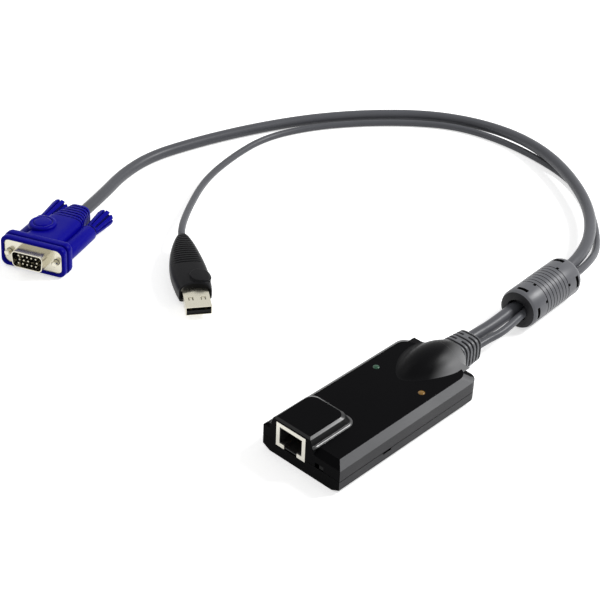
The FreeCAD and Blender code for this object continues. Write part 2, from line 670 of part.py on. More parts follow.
def repeat_contacts(contacts):
    """Eight separate contact wires in one node."""
    doc.recompute()
    wires = Part.makeCompound([contacts.Shape.translated(Vector(D.wire_pitch.value * step, 0, 0)) for step in range(8)])
    feature = doc.addObject("Part::Feature", "rj45_contact_set")
    feature.Shape = wires
    contacts.Label = "one_contact"
    feature.Label = "rj45_contacts"
    return feature


def build_switch():
    """Slide switch on the board behind the window; its knob is captured behind the body's front sheet."""
    gap, sheet = D.slide_gap, D.switch_wall
    front = SWITCH_FRONT
    back = front + D.switch_deep
    high = KNOB_MID_Z + D.knob_hgt / 2 + sheet + 0.3
    body = new_body("switch_body")
    left, right = WINDOW_X - D.switch_wid / 2, WINDOW_X + D.switch_wid / 2
    block(body, "Additive", (left, front, BOARD_TOP), (right, back, high))
    run_right = WINDOW_RIGHT - 0.2
    run_left = run_right - D.knob_wid - D.knob_travel
    low_z, high_z = KNOB_MID_Z - D.knob_hgt / 2, KNOB_MID_Z + D.knob_hgt / 2
    block(body, "Subtractive", (run_left - gap, front - 1, low_z - gap), (run_right + gap, front + 1, high_z + gap))
    shoe = 0.6
    block(body, "Subtractive", (run_left - shoe - gap, front + sheet, low_z - 0.25 - gap),
          (run_right + shoe + gap, back - sheet, high_z + 0.25 + gap))
    knob = new_body("switch_knob")
    block(knob, "Additive", (run_right - D.knob_wid, FRONT + 0.3, low_z), (run_right, front + sheet + 0.5, high_z))
    block(knob, "Additive", (run_right - D.knob_wid - shoe, front + sheet + gap, low_z - 0.25),
          (run_right + shoe, back - sheet - gap, high_z + 0.25))


def build_boot():
    """Ribbed strain relief: tapering rounded-square section with interrupted grooves all round."""
    body = new_body("cable_boot")
    start, end = BOSS_END + 0.05, BOOT_END
    sections = []
    for y, half, radius in ((start, D.boot_half, D.boot_round), (end - 1, D.boot_tip + 0.05, D.boot_round),
                            (end, D.boot_tip - 0.8, D.boot_round - 0.8)):
        sketch = new_sketch(body, "XZ_Plane", -y)
        sections.append(draw_outline(sketch, rectangle(half, D.boss_z - half, D.boss_z + half, radius)))
    loft(body, "Additive", sections)
    taper = (D.boot_half - D.boot_tip) / D.boot_len
    for number in range(5):
        y = start + 1.2 + number * D.groove_pitch
        inner = D.boot_half - taper * (y - start) - D.groove_deep
        radius = D.boot_round - D.groove_deep
        outer = D.boot_half + 1
        web = as_size(1.6 if number % 2 else 0)
        low = D.boss_z - D.boot_half * 0.55
        middle, top = D.boss_z, D.boss_z + inner
        sides = (-1, 1) if number % 2 else (0,)
        for side in sides:
            sketch = new_sketch(body, "XZ_Plane", -(y + D.groove_wid))
            if side == 0:
                corners = [(outer, low), (outer, middle + outer), (-outer, middle + outer), (-outer, low),
                           (-inner, low), (-inner, top, radius), (inner, top, radius), (inner, low)]
            else:
                corners = [(side * outer, low), (side * outer, middle + outer), (side * web, middle + outer),
                           (side * web, top), (side * inner, top, radius), (side * inner, low)]
            extrude(body, "Pocket", draw_outline(sketch, corners), D.groove_wid)
    drum(body, "Additive", "Y", (0, D.boss_z), NECK_FRONT - 1.4, start + 0.5, D.boot_neck)
    drum(body, "Additive", "Y", (0, D.boss_z), NECK_FRONT - 1.4, NECK_FRONT, D.neck_flange)
    return body


# ---------------------------------------------------------------------------- cords and ferrite

VGA_SIDE = D.vga_cable_dia / 2 - 0.2        # cables side by side at the boot, off its centre
USB_SIDE = D.usb_cable_dia / 2 + 1.2

# Route of each cable: points of its line, chosen by eye, millimetres.
VGA_ROUTE = [
    (-2.8, 64.55, 8.1), (-2.8, 71.5, 8.1), (-1.7, 82.5, 8.8), (-2.64, 100.5, 9.5), (-4.8, 141.5, 9.5),
    (-7.8, 160.0, 9.3), (-16.0, 180.5, 8.8), (-32.5, 203.0, 8.0), (-57.0, 222.5, 7.8), (-83.0, 236.0, 7.4),
    (-110.5, 242.8, 5.6), (-138.0, 242.0, 3.0), (-161.0, 229.5, 3.0), (-182.0, 208.0, 3.0), (-199.5, 183.0, 3.0),
    (-211.5, 158.0, 3.0), (-220.5, 133.0, 3.0), (-227.0, 108.0, 3.0), (-231.0, 83.0, 3.0), (-226.5, 59.5, 3.2),
    (-215.3, 36.5, 4.5), (-206.33, 14.47, 5.73),
]
USB_ROUTE = [
    (3.0, 64.55, 8.1), (3.0, 71.5, 8.1), (4.8, 82.5, 8.7), (2.46, 100.5, 9.5), (0.3, 141.5, 9.5),
    (-2.6, 159.0, 7.7), (-10.0, 178.5, 3.4), (-23.5, 197.5, 1.8), (-42.5, 217.5, 1.8), (-65.0, 231.0, 1.8),
    (-92.0, 237.0, 1.8), (-118.0, 238.0, 1.8), (-143.0, 232.5, 1.8), (-164.0, 216.5, 1.8), (-183.0, 195.0, 1.8),
    (-198.0, 171.0, 1.8), (-206.0, 145.0, 1.8), (-203.0, 118.0, 1.8), (-194.5, 88.5, 2.0), (-175.0, 58.5, 5.2),
    (-158.15, 37.32, 8.43), (-153.27, 33.85, 8.12),
]


def cord_path(points):
    """Straight runs joined by tangent arcs, each arc as large as its two runs allow."""
    points = [Vector(*point) for point in points]
    edges, radii, last = [], [], points[0]
    for before, corner, after in zip(points, points[1:], points[2:]):
        run_in, run_out = corner - before, after - corner
        reach = 0.45 * min(run_in.Length, run_out.Length)
        turn = run_in.getAngle(run_out)
        radii.append(reach / math.tan(turn / 2))
        arc_in = corner - run_in.normalize() * reach
        arc_out = corner + run_out.normalize() * reach
        centre_way = (arc_in + arc_out) * 0.5 - corner
        depth = radii[-1] / math.cos(turn / 2) - radii[-1]
        middle = corner + centre_way.normalize() * depth
        edges.append(Part.LineSegment(last, arc_in).toShape())
        edges.append(Part.Arc(arc_in, middle, arc_out).toShape())
        last = arc_out
    edges.append(Part.LineSegment(last, points[-1]).toShape())
    return Part.Wire(edges), radii


def build_cord(label, points, diameter):
    path, radii = cord_path(points)
    start = Vector(*points[0])
    ring = Part.Wire([Part.Circle(start, Vector(*points[1]) - start, diameter / 2).toShape()])
    tube = path.makePipeShell([ring], True, False)
    expected = math.pi * diameter ** 2 / 4 * path.Length
    if abs(tube.Volume - expected) > 0.01 * expected:
        raise ValueError(f"{label}: tube volume {tube.Volume:.0f}, expected {expected:.0f}")
    feature = doc.addObject("Part::Feature", label)
    feature.Shape = tube
    feature.Label = label
    listed = " ".join(f"{radius:.0f}" for radius in radii)
    print(f"{label}: length {path.Length:.1f} mm, arc radii {listed} mm, smallest {min(radii) / diameter:.1f} diameters")


def build_ferrite():
    half, thick = D.ferrite_len / 2, D.jacket_thk
    inner = half - D.jacket_end
    outer_r, core_r, bore = D.ferrite_rad, D.ferrite_rad - D.jacket_thk, D.bore_rad
    ease = D.jacket_round
    jacket = turned("ferrite_jacket", [
        (-half, bore), (-half, outer_r - ease), (-half + ease * 0.3, outer_r - ease * 0.3), (-half + ease, outer_r),
        (half - ease, outer_r), (half - ease * 0.3, outer_r - ease * 0.3), (half, outer_r - ease), (half, bore),
        (inner, bore), (inner, core_r), (-inner, core_r), (-inner, bore)])
    rings = 8
    for number in range(rings):
        y = (number - (rings - 1) / 2) * D.ring_pitch - D.ring_wid / 2
        sketch = new_sketch(jacket, "YZ_Plane")
        draw_outline(sketch, [(y, outer_r - D.ring_deep), (y + D.ring_wid, outer_r - D.ring_deep),
                              (y + D.ring_wid, outer_r + 1), (y, outer_r + 1)])
        spin(jacket, "Groove", sketch)
    # moulding windows near both ends: four long slots round the jacket, and small holes by the rings
    hole = D.ring_pitch * rings / 2 - 0.4
    for side, lead in ((-1, 4), (1, 14)):
        slot = side * (half - ease - D.slot_wid)
        cut_windows(jacket, slot, D.slot_wid / 2, D.slot_len / 2, [lead - 90 * quarter for quarter in range(4)])
        cut_windows(jacket, side * hole, D.hole_wid / 2, D.hole_wid / 2, [-8, -68, -188, -248])
    core = turned("ferrite_core", [
        (-inner + 0.1, bore), (-inner + 0.1, core_r - 0.05), (inner - 0.1, core_r - 0.05), (inner - 0.1, bore)])
    place = FreeCAD.Placement(Vector(D.ferrite_x.value, D.ferrite_y.value, D.ferrite_rad.value),
                              FreeCAD.Rotation(Vector(0, 0, 1), D.ferrite_yaw.value))
    jacket.Placement = place
    core.Placement = place


def cut_windows(jacket, y, half_wid, half_long, angles):
    """Windows through the jacket wall, each turned by its angle from the top towards -X."""
    deep = D.jacket_thk * 1.6
    for angle in angles:
        feature = jacket.newObject("PartDesign::SubtractiveBox", "window")
        attach(feature, jacket, "XZ_Plane")
        turn = math.radians(angle)
        # the box stands out along its own Y axis in the section plane, turned about the ferrite's axis
        feature.AttachmentOffset = FreeCAD.Placement(
            Vector(), FreeCAD.Rotation(Vector(0, 0, 1), angle))
        reach = D.ferrite_rad - deep
        bind(feature, "AttachmentOffset.Base.x", -half_long * math.cos(turn) - reach * math.sin(turn))
        bind(feature, "AttachmentOffset.Base.y", -half_long * math.sin(turn) + reach * math.cos(turn))
        bind(feature, "AttachmentOffset.Base.z", -(as_size(y) + half_wid))
        bind(feature, "Length", as_size(half_long) * 2)
        bind(feature, "Width", deep + 1)
        bind(feature, "Height", as_size(half_wid) * 2)


# ---------------------------------------------------------------------------- VGA plug

VGA_PLACE = FreeCAD.Placement(Vector(-188.5, -29.0, 8.2), FreeCAD.Rotation(22.3, 0, -3.0))


def build_vga_hood():
    """Moulded hood: two-layer frame round the flange, tapering body with a soft crown, ribbed tail."""
    body = new_body("vga_hood")
    half, high = D.flange_wid / 2 + D.frame_rim, D.flange_hgt / 2 + D.frame_rim
    rear_half, rear_high = half + 0.3, high + 0.1
    layers = [(-0.9, half, high, 3), (D.frame_front, half, high, 3), (D.frame_front, half - 0.9, high - 0.9, 2.2),
              (D.frame_step, half - 0.9, high - 0.9, 2.2), (D.frame_step, rear_half, rear_high, 3.4),
              (D.frame_back, rear_half - 0.5, rear_high - 0.4, 3.4)]
    for front, back in zip(layers[::2], layers[1::2]):
        pair = []
        for y, wide, tall, radius in (front, back):
            sketch = new_sketch(body, "XZ_Plane", -as_size(y))
            pair.append(draw_outline(sketch, rectangle(as_size(wide), -as_size(tall), as_size(tall), radius)))
        loft(body, "Additive", pair)
    body_sections = [(D.frame_back - 0.5, D.hood_half, D.hood_hgt + 0.5, 2.2), (D.hood_len * 0.6, D.hood_half, D.hood_hgt, 2.6),
                     (D.hood_len, D.hood_waist, D.hood_hgt, 3.4)]
    loft(body, "Additive", [rounded_section(body, *section) for section in body_sections])
    # core of the tail, then ribs that shrink towards the cable
    tail_run = D.hood_tail - D.hood_len
    core_drop = 0.9
    loft(body, "Additive", [
        rounded_section(body, D.hood_len, D.hood_waist - core_drop, D.hood_hgt - core_drop, 3),
        rounded_section(body, D.hood_len + tail_run * 0.6, D.tail_half + 1.6, D.tail_half - 0.1, 4),
        rounded_section(body, D.hood_tail - 0.2, D.tail_half - core_drop, D.tail_half - core_drop, 4)])
    ribs = int(D.rib_count.value)
    pitch = tail_run / (ribs + 0.8)
    for number in range(ribs + 1):
        share = number / (ribs + 0.8)
        y = D.hood_len + pitch * number
        wide = D.hood_waist - (D.hood_waist - D.tail_half) * (share ** 1.6)
        tall = D.hood_hgt - (D.hood_hgt - D.tail_half) * share
        loft(body, "Additive", [rounded_section(body, y, wide, tall, 3.6),
                                rounded_section(body, y + pitch * 0.8, wide - 0.4, tall - 0.25, 3.4)])
    for side in (-1, 1):
        x = side * D.screw_x
        drum(body, "Additive", "Y", (x, 0), D.frame_back - 1, D.sleeve_len, D.sleeve_rad)
    crown = body.newObject("PartDesign::AdditiveEllipsoid", "hood_crown")
    attach(crown, body, "XY_Plane", (-1.8, D.hood_len * 0.54, D.hood_hgt - 0.6))
    for field, number in (("Radius1", 2.8), ("Radius2", 8.1), ("Radius3", 8.6)):
        bind(crown, field, number)
    # recess that the flange sits in, bore of each jackscrew and the seat of the cable
    gap = D.fit_gap
    block(body, "Subtractive", (-D.flange_wid / 2 - gap, -2, -D.flange_hgt / 2 - gap),
          (D.flange_wid / 2 + gap, D.flange_thk, D.flange_hgt / 2 + gap))
    block(body, "Subtractive", (-D.shell_wid / 2 - 0.1, 0, -D.shell_hgt / 2 - 0.1),
          (D.shell_wid / 2 + 0.1, 6, D.shell_hgt / 2 + 0.1))
    for side in (-1, 1):
        drum(body, "Subtractive", "Y", (side * D.screw_x, 0), -2, D.sleeve_len + 1, D.screw_rad + D.screw_gap)
    return body


def rounded_section(body, y, half_wid, half_hgt, radius):
    sketch = new_sketch(body, "XZ_Plane", -as_size(y))
    return draw_outline(sketch, rectangle(as_size(half_wid), -as_size(half_hgt), as_size(half_hgt), radius))


def d_outline(body, y, inset):
    """Shell outline, wider on top, moved in by inset."""
    half, high, slant = D.shell_wid / 2 - inset, D.shell_hgt / 2 - inset, D.shell_slant
    radius = D.shell_round - inset
    corners = [(-half + slant, -high, radius), (half - slant, -high, radius), (half, high, radius),
               (-half, high, radius)]
    return draw_outline(new_sketch(body, "XZ_Plane", -as_size(y)), corners)


def build_vga_front():
    shell = new_body("vga_shell")
    extrude(shell, "Pad", d_outline(shell, -D.shell_len, as_size(0)), D.shell_len + 4, reverse=True)
    extrude(shell, "Pocket", d_outline(shell, -D.shell_len - 1, D.sheet_thk), D.shell_len + 6)
    plate = new_sketch(shell, "XZ_Plane", -D.flange_thk)
    half, high = D.flange_wid / 2, D.flange_hgt / 2
    draw_outline(plate, rectangle(half, -high, high, 1.8))
    draw_outline(plate, rectangle(D.shell_wid / 2 - D.sheet_thk - D.shell_slant - 0.2,
                                  -D.shell_hgt / 2 + D.sheet_thk + 0.2, D.shell_hgt / 2 - D.sheet_thk - 0.2))
    for side in (-1, 1):
        sketch_circle(plate, side * D.screw_x, 0, D.screw_rad + 0.25)
    extrude(shell, "Pad", plate, D.flange_thk)
    insulator = new_body("vga_insulator")
    rear = as_size(3.8)
    carrier = d_outline(insulator, D.flange_thk + 0.05, D.sheet_thk + 0.1)
    extrude(insulator, "Pad", carrier, rear - D.flange_thk, reverse=True)
    nose = rectangle(D.shell_wid / 2 - D.sheet_thk - D.shell_slant - 0.35,
                     -D.shell_hgt / 2 + D.sheet_thk + 0.35, D.shell_hgt / 2 - D.sheet_thk - 0.35, 1)
    extrude(insulator, "Pad", draw_outline(new_sketch(insulator, "XZ_Plane", 0.3), nose), D.flange_thk + 1, reverse=True)
    pins = []
    for row, count in ((1, 5), (0, 5), (-1, 5)):
        for column in range(count):
            if row == 0 and column == 3:
                continue        # position 9 has no pin on this kind of plug
            offset = column - 2 + (0.25 if row == 0 else -0.0)
            x = D.pin_pitch * (offset - 0.1)
            name = f"pin_{row + 1}_{column}"
            pins.append(simple_rod(name, (x, row * D.row_pitch), -D.pin_len - 0.3, as_size(-0.3), D.pin_rad))
    set_of_pins = group("vga_pins", pins)
    for piece in (shell, insulator, set_of_pins):
        piece.Placement = VGA_PLACE


def build_thumbscrews():
    for label, side in (("left", -1), ("right", 1)):
        place = VGA_PLACE.multiply(FreeCAD.Placement(Vector(side * D.screw_x.value, 0, 0), FreeCAD.Rotation()))
        tip, rod = D.screw_tip, D.screw_rad
        seat = D.knob_start + D.knob_len * 0.7
        screw = turned(f"{label}_jackscrew", [
            (-tip, 0), (-tip, rod - 0.4), (-tip + 0.4, rod), (seat, rod), (seat, 0)])
        start, end = D.knob_start, D.knob_start + D.knob_len
        knob = turned(f"{label}_screw_knob", [
            (start, rod), (start, D.knob_small - 0.5), (start + 0.5, D.knob_small), (end - 0.8, D.knob_big),
            (end, D.knob_big - 0.8), (end, 0), (seat, 0), (seat, rod)])
        flutes = 8
        for number in range(flutes):
            turn = 2 * math.pi * number / flutes
            flute = knob.newObject("PartDesign::SubtractiveCylinder", "flute")
            attach(flute, knob, "XZ_Plane")
            bind(flute, "AttachmentOffset.Base.x", (D.knob_big + 0.25) * math.cos(turn))
            bind(flute, "AttachmentOffset.Base.y", (D.knob_big + 0.25) * math.sin(turn))
            bind(flute, "AttachmentOffset.Base.z", -end - 1)
            bind(flute, "Height", D.knob_len - 2)
            flute.Radius = 0.8
        screw.Placement = place
        knob.Placement = place


# ---------------------------------------------------------------------------- USB plug

USB_PLACE = FreeCAD.Placement(Vector(-104.8, -0.6, 5.0), FreeCAD.Rotation(54.6, 0, 3.0))

# USB grip: (share of its length, share of its half width, share of its half height)
GRIP_FORM = [(0.0, 0.82, 0.86), (0.14, 0.95, 0.97), (0.34, 1.0, 1.0), (0.52, 0.93, 0.96),
             (0.70, 0.77, 0.87), (0.85, 0.575, 0.73), (0.95, 0.40, 0.58), (1.0, 0.27, 0.46)]


def grip_height(share):
    """Half height of the grip at a share of its length, by its form."""
    for (s0, _, h0), (s1, _, h1) in zip(GRIP_FORM, GRIP_FORM[1:]):
        if share <= s1:
            return D.grip_hgt * (h0 + (h1 - h0) * (share - s0) / (s1 - s0))
    return D.grip_hgt * GRIP_FORM[-1][2]


def build_usb_grip():
    body = new_body("usb_grip")
    sections = []
    for share, wide, tall in GRIP_FORM:
        half, high = D.grip_half * wide, D.grip_hgt * tall
        radius = high * 0.8 if wide > tall * 0.45 else half * 0.8
        if half.value < high.value:
            radius = half * 0.8
        sections.append(rounded_section(body, D.grip_start + D.grip_len * share, half, high, radius))
    loft(body, "Additive", sections, ruled=False)
    # fine ribs across the rear half of the top: shallow slots that follow the falling surface
    ribs = 12
    for number in range(ribs):
        share = 0.45 + 0.49 * number / (ribs - 1)
        y = D.grip_start + D.grip_len * share
        top = grip_height(share) - 0.45
        reach = D.grip_half * (0.78 - 0.6 * (share - 0.45) / 0.49)
        block(body, "Subtractive", (-reach, y, top), (reach, y + D.grip_rib, D.grip_hgt + 2))
    crown = body.newObject("PartDesign::AdditiveEllipsoid", "grip_crown")
    attach(crown, body, "XY_Plane", (2.4, D.grip_start + D.grip_len * 0.2, D.grip_hgt - 0.5))
    for field, number in (("Radius1", 1.2), ("Radius2", 4.8), ("Radius3", 4.8)):
        bind(crown, field, number)
    # scalloped front, then the seat of the shell
    drum(body, "Subtractive", "Z", (0, D.grip_start - 5), -D.grip_hgt - 2, D.grip_hgt + 2, D.grip_half + 0.4)
    gap = 0.05
    block(body, "Subtractive", (-D.usb_wid / 2 - gap, D.grip_start - 2, -D.usb_hgt / 2 - gap),
          (D.usb_wid / 2 + gap, D.usb_deep + gap, D.usb_hgt / 2 + gap))
    return body


def build_usb_front():
    half, high, sheet = D.usb_wid / 2, D.usb_hgt / 2, D.usb_thk
    shell = new_body("usb_shell")
    block(shell, "Additive", (-half, 0, -high), (half, D.usb_deep, high))
    block(shell, "Subtractive", (-half + sheet, -1, -high + sheet), (half - sheet, D.usb_deep - sheet, high - sheet))
    for side in (-1, 1):
        x = side * 2.85
        block(shell, "Subtractive", (x - 1.15, 5.2, -high - 1), (x + 1.15, 7.6, high + 1))
    insulator = new_body("usb_insulator")
    gap = 0.05
    block(insulator, "Additive", (-half + sheet + gap, 0.6, -high + sheet + gap),
          (half - sheet - gap, D.usb_deep - sheet - gap, -high + sheet + D.tongue_hgt))
    block(insulator, "Additive", (-half + sheet + gap, 13, -high + sheet + gap),
          (half - sheet - gap, D.usb_deep - sheet - gap, high - sheet - gap))
    contacts = []
    top = -high + sheet + D.tongue_hgt
    for name, x, front in (("power", -3.5, 1.6), ("data_minus", -1.0, 2.6), ("data_plus", 1.0, 2.6), ("ground", 3.5, 1.6)):
        contacts.append(simple_box("contact_" + name, (x - 0.5, front, top), (x + 0.5, as_size(13) - gap, top + 0.2)))
    strips = group("usb_contacts", contacts)
    for piece in (shell, insulator, strips):
        piece.Placement = USB_PLACE


# ---------------------------------------------------------------------------- build and write

NODES = [
    "top_cover", "bottom_cover", "circuit_board", "board_chips", "cable_header", "cable_leads", "status_leds",
    "green_light_pipe", "amber_light_pipe", "rj45_shield", "rj45_insert", "rj45_contacts", "switch_body",
    "switch_knob", "cable_boot", "vga_cable", "usb_cable", "ferrite_jacket", "ferrite_core", "vga_hood",
    "vga_shell", "vga_insulator", "vga_pins", "left_jackscrew", "left_screw_knob", "right_jackscrew",
    "right_screw_knob", "usb_grip", "usb_shell", "usb_insulator", "usb_contacts",
]


def check_document():
    """Every feature up to date, every node's shape whole."""
    for item in doc.Objects:
        if any(word in item.State for word in ("Invalid", "Error")):
            raise ValueError(f"{item.Label} ({item.Name}) failed: {item.State}")
    for label in NODES:
        shape = doc.getObjectsByLabel(label)[0].Shape
        if shape.isNull() or not shape.isValid() or not shape.Solids:
            raise ValueError(f"{label} has no whole solid")


def main():
    build_top_cover()
    build_bottom_cover()
    build_board()
    build_board_parts()
    repeat_contacts(build_jack())
    build_switch()
    build_boot()
    build_cord("vga_cable", VGA_ROUTE, D.vga_cable_dia.value)
    build_cord("usb_cable", USB_ROUTE, D.usb_cable_dia.value)
    build_ferrite()
    build_vga_hood().Placement = VGA_PLACE
    build_vga_front()
    build_thumbscrews()
    build_usb_grip().Placement = USB_PLACE
    build_usb_front()
    doc.recompute()
    check_document()
    os.makedirs("parts", exist_ok=True)
    for label in NODES:
        doc.getObjectsByLabel(label)[0].Shape.exportStep(os.path.join("parts", f"{label}.step"))
    print(f"{len(NODES)} nodes written")


main()
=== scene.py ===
"""KVM dongle: the dressed model of the adapter box, its lead, ferrite, VGA plug and USB plug.

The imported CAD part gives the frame.  This add-on covers its nodes with finishes and puts smoother
surfaces over the moulded pieces.  All shapes are in metres in the part's own frame.
"""
import json
import math

import bpy
import numpy as np
from bpy.props import FloatProperty, FloatVectorProperty, PointerProperty
from mathutils import Euler, Matrix, Vector

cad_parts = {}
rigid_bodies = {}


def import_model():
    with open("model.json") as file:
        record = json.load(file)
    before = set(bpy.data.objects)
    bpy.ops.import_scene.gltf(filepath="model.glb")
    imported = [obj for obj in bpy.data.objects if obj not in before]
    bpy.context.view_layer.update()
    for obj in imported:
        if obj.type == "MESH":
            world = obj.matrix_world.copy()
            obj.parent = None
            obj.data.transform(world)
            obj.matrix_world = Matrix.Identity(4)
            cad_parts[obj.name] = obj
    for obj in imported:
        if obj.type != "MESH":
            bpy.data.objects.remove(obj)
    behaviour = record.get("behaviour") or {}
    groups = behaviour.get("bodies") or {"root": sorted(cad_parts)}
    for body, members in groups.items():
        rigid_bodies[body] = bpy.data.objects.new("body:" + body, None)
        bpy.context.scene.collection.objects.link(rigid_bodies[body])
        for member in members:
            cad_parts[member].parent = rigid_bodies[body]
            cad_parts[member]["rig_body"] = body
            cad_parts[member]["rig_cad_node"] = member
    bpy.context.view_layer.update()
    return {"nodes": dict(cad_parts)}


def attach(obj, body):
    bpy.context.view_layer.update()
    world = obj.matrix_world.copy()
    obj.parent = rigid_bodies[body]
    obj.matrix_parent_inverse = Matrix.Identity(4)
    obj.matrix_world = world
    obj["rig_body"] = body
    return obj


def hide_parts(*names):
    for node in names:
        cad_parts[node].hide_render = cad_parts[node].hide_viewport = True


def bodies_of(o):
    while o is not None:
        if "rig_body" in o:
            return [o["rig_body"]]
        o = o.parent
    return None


bl_info = {
    "name": "KVM dongle",
    "version": (1, 0, 0),
    "blender": (4, 5, 0),
    "location": "View3D > Sidebar > KVM dongle",
    "description": "Dresses the adapter box, its cables, ferrite and plugs",
    "category": "Add Mesh",
}

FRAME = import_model()
NODES = FRAME["nodes"]
MM = 0.001

# Places of the plugs and the ferrite: origin in millimetres, turn about Z and tilt about X in degrees.
VGA_PLACE = ((-188.5, -29.0, 8.2), 22.3, -3.0)
USB_PLACE = ((-104.8, -0.6, 5.0), 54.6, 3.0)
FERRITE_PLACE = ((-1.73, 119.6, 9.5), 3.0, 0.0)
FERRITE_HALF, FERRITE_RADIUS, FERRITE_EASE = 20.5, 9.5, 2.2
BOSS_AXIS_Z = 8.1
TOP_Z = 14.2
BOOT_START, BOOT_END, BOOT_HALF, BOOT_TIP = 51.55, 64.5, 7.15, 6.35
BOOT_GROOVES, BOOT_FIRST, BOOT_PITCH, BOOT_GROOVE_DEPTH, BOOT_ROUND = 5, 1.55, 2.5, 1.4, 0.7
# Outline of the covers from above: half width, rear wall; inset, corner radius and its growth by height.
CASE_HALF, CASE_REAR = 21.0, 44.0
CASE_INSET = ((0.0, 1.9, 11.5, TOP_Z), (3.9, 0.0, 0.0, 3.2))
CASE_RADIUS = ((0.0, 1.9, 11.5, TOP_Z), (3.0, 4.3, 4.3, 3.0))
CORNER_GROWTH = ((0.0, 11.5, TOP_Z), (1.0, 1.0, 3.5))
# Foot of the jack block on the flat top: left, right and rear lines, corner radius and wall slopes.
FOOT_LEFT, FOOT_RIGHT, FOOT_FRONT, FOOT_REAR, FOOT_CORNER = -16.775, 6.075, -43.98, -19.07, 4.0
FOOT_SIDE_SLOPE, FOOT_REAR_SLOPE, FOOT_FILLET = 0.306, 0.583, 0.9
# Zone of the block on the top: its faces lie within this half width and in front of this line.
BLOCK_ZONE, BLOCK_BACK = 17.7, 26.0
BOSS_TIP_Y, BOSS_CROWN_Y = 18.3, 37.0
BOSS_TIP_R, BOSS_CROWN_R, BOSS_END_R = TOP_Z - BOSS_AXIS_Z, 11.7, 8.0

# Routes of the cables, millimetres: control points of the same lines that the solids follow.
VGA_ROUTE = [
    (-2.8, 64.55, 8.1), (-2.8, 71.5, 8.1), (-1.7, 82.5, 8.8), (-2.64, 100.5, 9.5), (-4.8, 141.5, 9.5),
    (-7.8, 160.0, 9.3), (-16.0, 180.5, 8.8), (-32.5, 203.0, 8.0), (-57.0, 222.5, 7.8), (-83.0, 236.0, 7.4),
    (-110.5, 242.8, 5.6), (-138.0, 242.0, 3.0), (-161.0, 229.5, 3.0), (-182.0, 208.0, 3.0),
    (-199.5, 183.0, 3.0), (-211.5, 158.0, 3.0), (-220.5, 133.0, 3.0), (-227.0, 108.0, 3.0),
    (-231.0, 83.0, 3.0), (-226.5, 59.5, 3.2), (-215.3, 36.5, 4.5), (-206.33, 14.47, 5.73),
]
USB_ROUTE = [
    (3.0, 64.55, 8.1), (3.0, 71.5, 8.1), (4.8, 82.5, 8.7), (2.46, 100.5, 9.5), (0.3, 141.5, 9.5),
    (-2.6, 159.0, 7.7), (-10.0, 178.5, 3.4), (-23.5, 197.5, 1.8), (-42.5, 217.5, 1.8), (-65.0, 231.0, 1.8),
    (-92.0, 237.0, 1.8), (-118.0, 238.0, 1.8), (-143.0, 232.5, 1.8), (-164.0, 216.5, 1.8),
    (-183.0, 195.0, 1.8), (-198.0, 171.0, 1.8), (-206.0, 145.0, 1.8), (-203.0, 118.0, 1.8),
    (-194.5, 88.5, 2.0), (-175.0, 58.5, 5.2), (-158.15, 37.32, 8.43), (-153.27, 33.85, 8.12),
]


# ------------------------------------------------------------------------------- user settings

def colour_setting(name, description, default):
    return FloatVectorProperty(name=name, description=description, default=default, subtype="COLOR", size=3,
                               min=0.0, max=1.0)


def length_setting(name, description, default):
    return FloatProperty(name=name, description=description, default=default, subtype="DISTANCE",
                         unit="LENGTH", min=0.0)


class DONGLE_PG_box(bpy.types.PropertyGroup):
    case_colour: colour_setting("Cover", "Colour of the glossy top and front", (0.0035, 0.0035, 0.004))
    side_colour: colour_setting("Textured sides", "Colour of the grained side walls", (0.014, 0.014, 0.016))
    # Painted light: the bevel's lighter grey stands in for the light and gloss on the switch side.
    bevel_lit_colour: colour_setting("Bevel", "Colour of the grained bevel", (0.055, 0.056, 0.06))
    # Painted highlight: the boss's light grey towards the switch side stands in for light, not for a colour
    # of its own.
    boss_highlight_colour: colour_setting("Boss", "Colour of the boss towards the switch side", (0.18, 0.181, 0.184))
    edge_round: length_setting("Edge round", "Rounding of the cover edges", 0.0005)
    shield_colour: colour_setting("Jack shield", "Colour of the network jack's metal", (0.75, 0.73, 0.65))


class DONGLE_PG_lead(bpy.types.PropertyGroup):
    jacket_colour: colour_setting("Cable jacket", "Colour of both cables", (0.075, 0.077, 0.086))
    boot_colour: colour_setting("Boot", "Colour of the ribbed boot", (0.1, 0.102, 0.11))
    ferrite_colour: colour_setting("Ferrite jacket", "Colour of the ferrite's jacket", (0.095, 0.097, 0.107))
    vga_diameter: length_setting("VGA cable", "Diameter of the thicker cable", 0.006)
    usb_diameter: length_setting("USB cable", "Diameter of the thinner cable", 0.0036)


class DONGLE_PG_plugs(bpy.types.PropertyGroup):
    vga_colour: colour_setting("VGA hood", "Colour of the VGA plug's moulding", (0.002, 0.001, 0.25))
    usb_colour: colour_setting("USB grip", "Colour of the USB plug's moulding", (0.006, 0.006, 0.007))
    steel_colour: colour_setting("Shells", "Colour of the plated shells", (0.62, 0.59, 0.49))


class DONGLE_PG_stage(bpy.types.PropertyGroup):
    lamp_power: FloatProperty(name="Lamp power", description="Power of the main soft lamp in watts",
                              default=11.0, min=0.0)


# ------------------------------------------------------------------------------- surfaces

def place_matrix(place):
    """Frame of a plug or of the ferrite: turn about Z after the tilt about X, then the shift."""
    origin, turn, tilt = place
    rotation = Euler((math.radians(tilt), 0.0, math.radians(turn)), "XYZ").to_matrix().to_4x4()
    return Matrix.Translation(Vector(origin) * MM) @ rotation


def add_object(name, data):
    """New object with the given data, linked to the scene."""
    made = bpy.data.objects.new(name, data)
    bpy.context.scene.collection.objects.link(made)
    return made


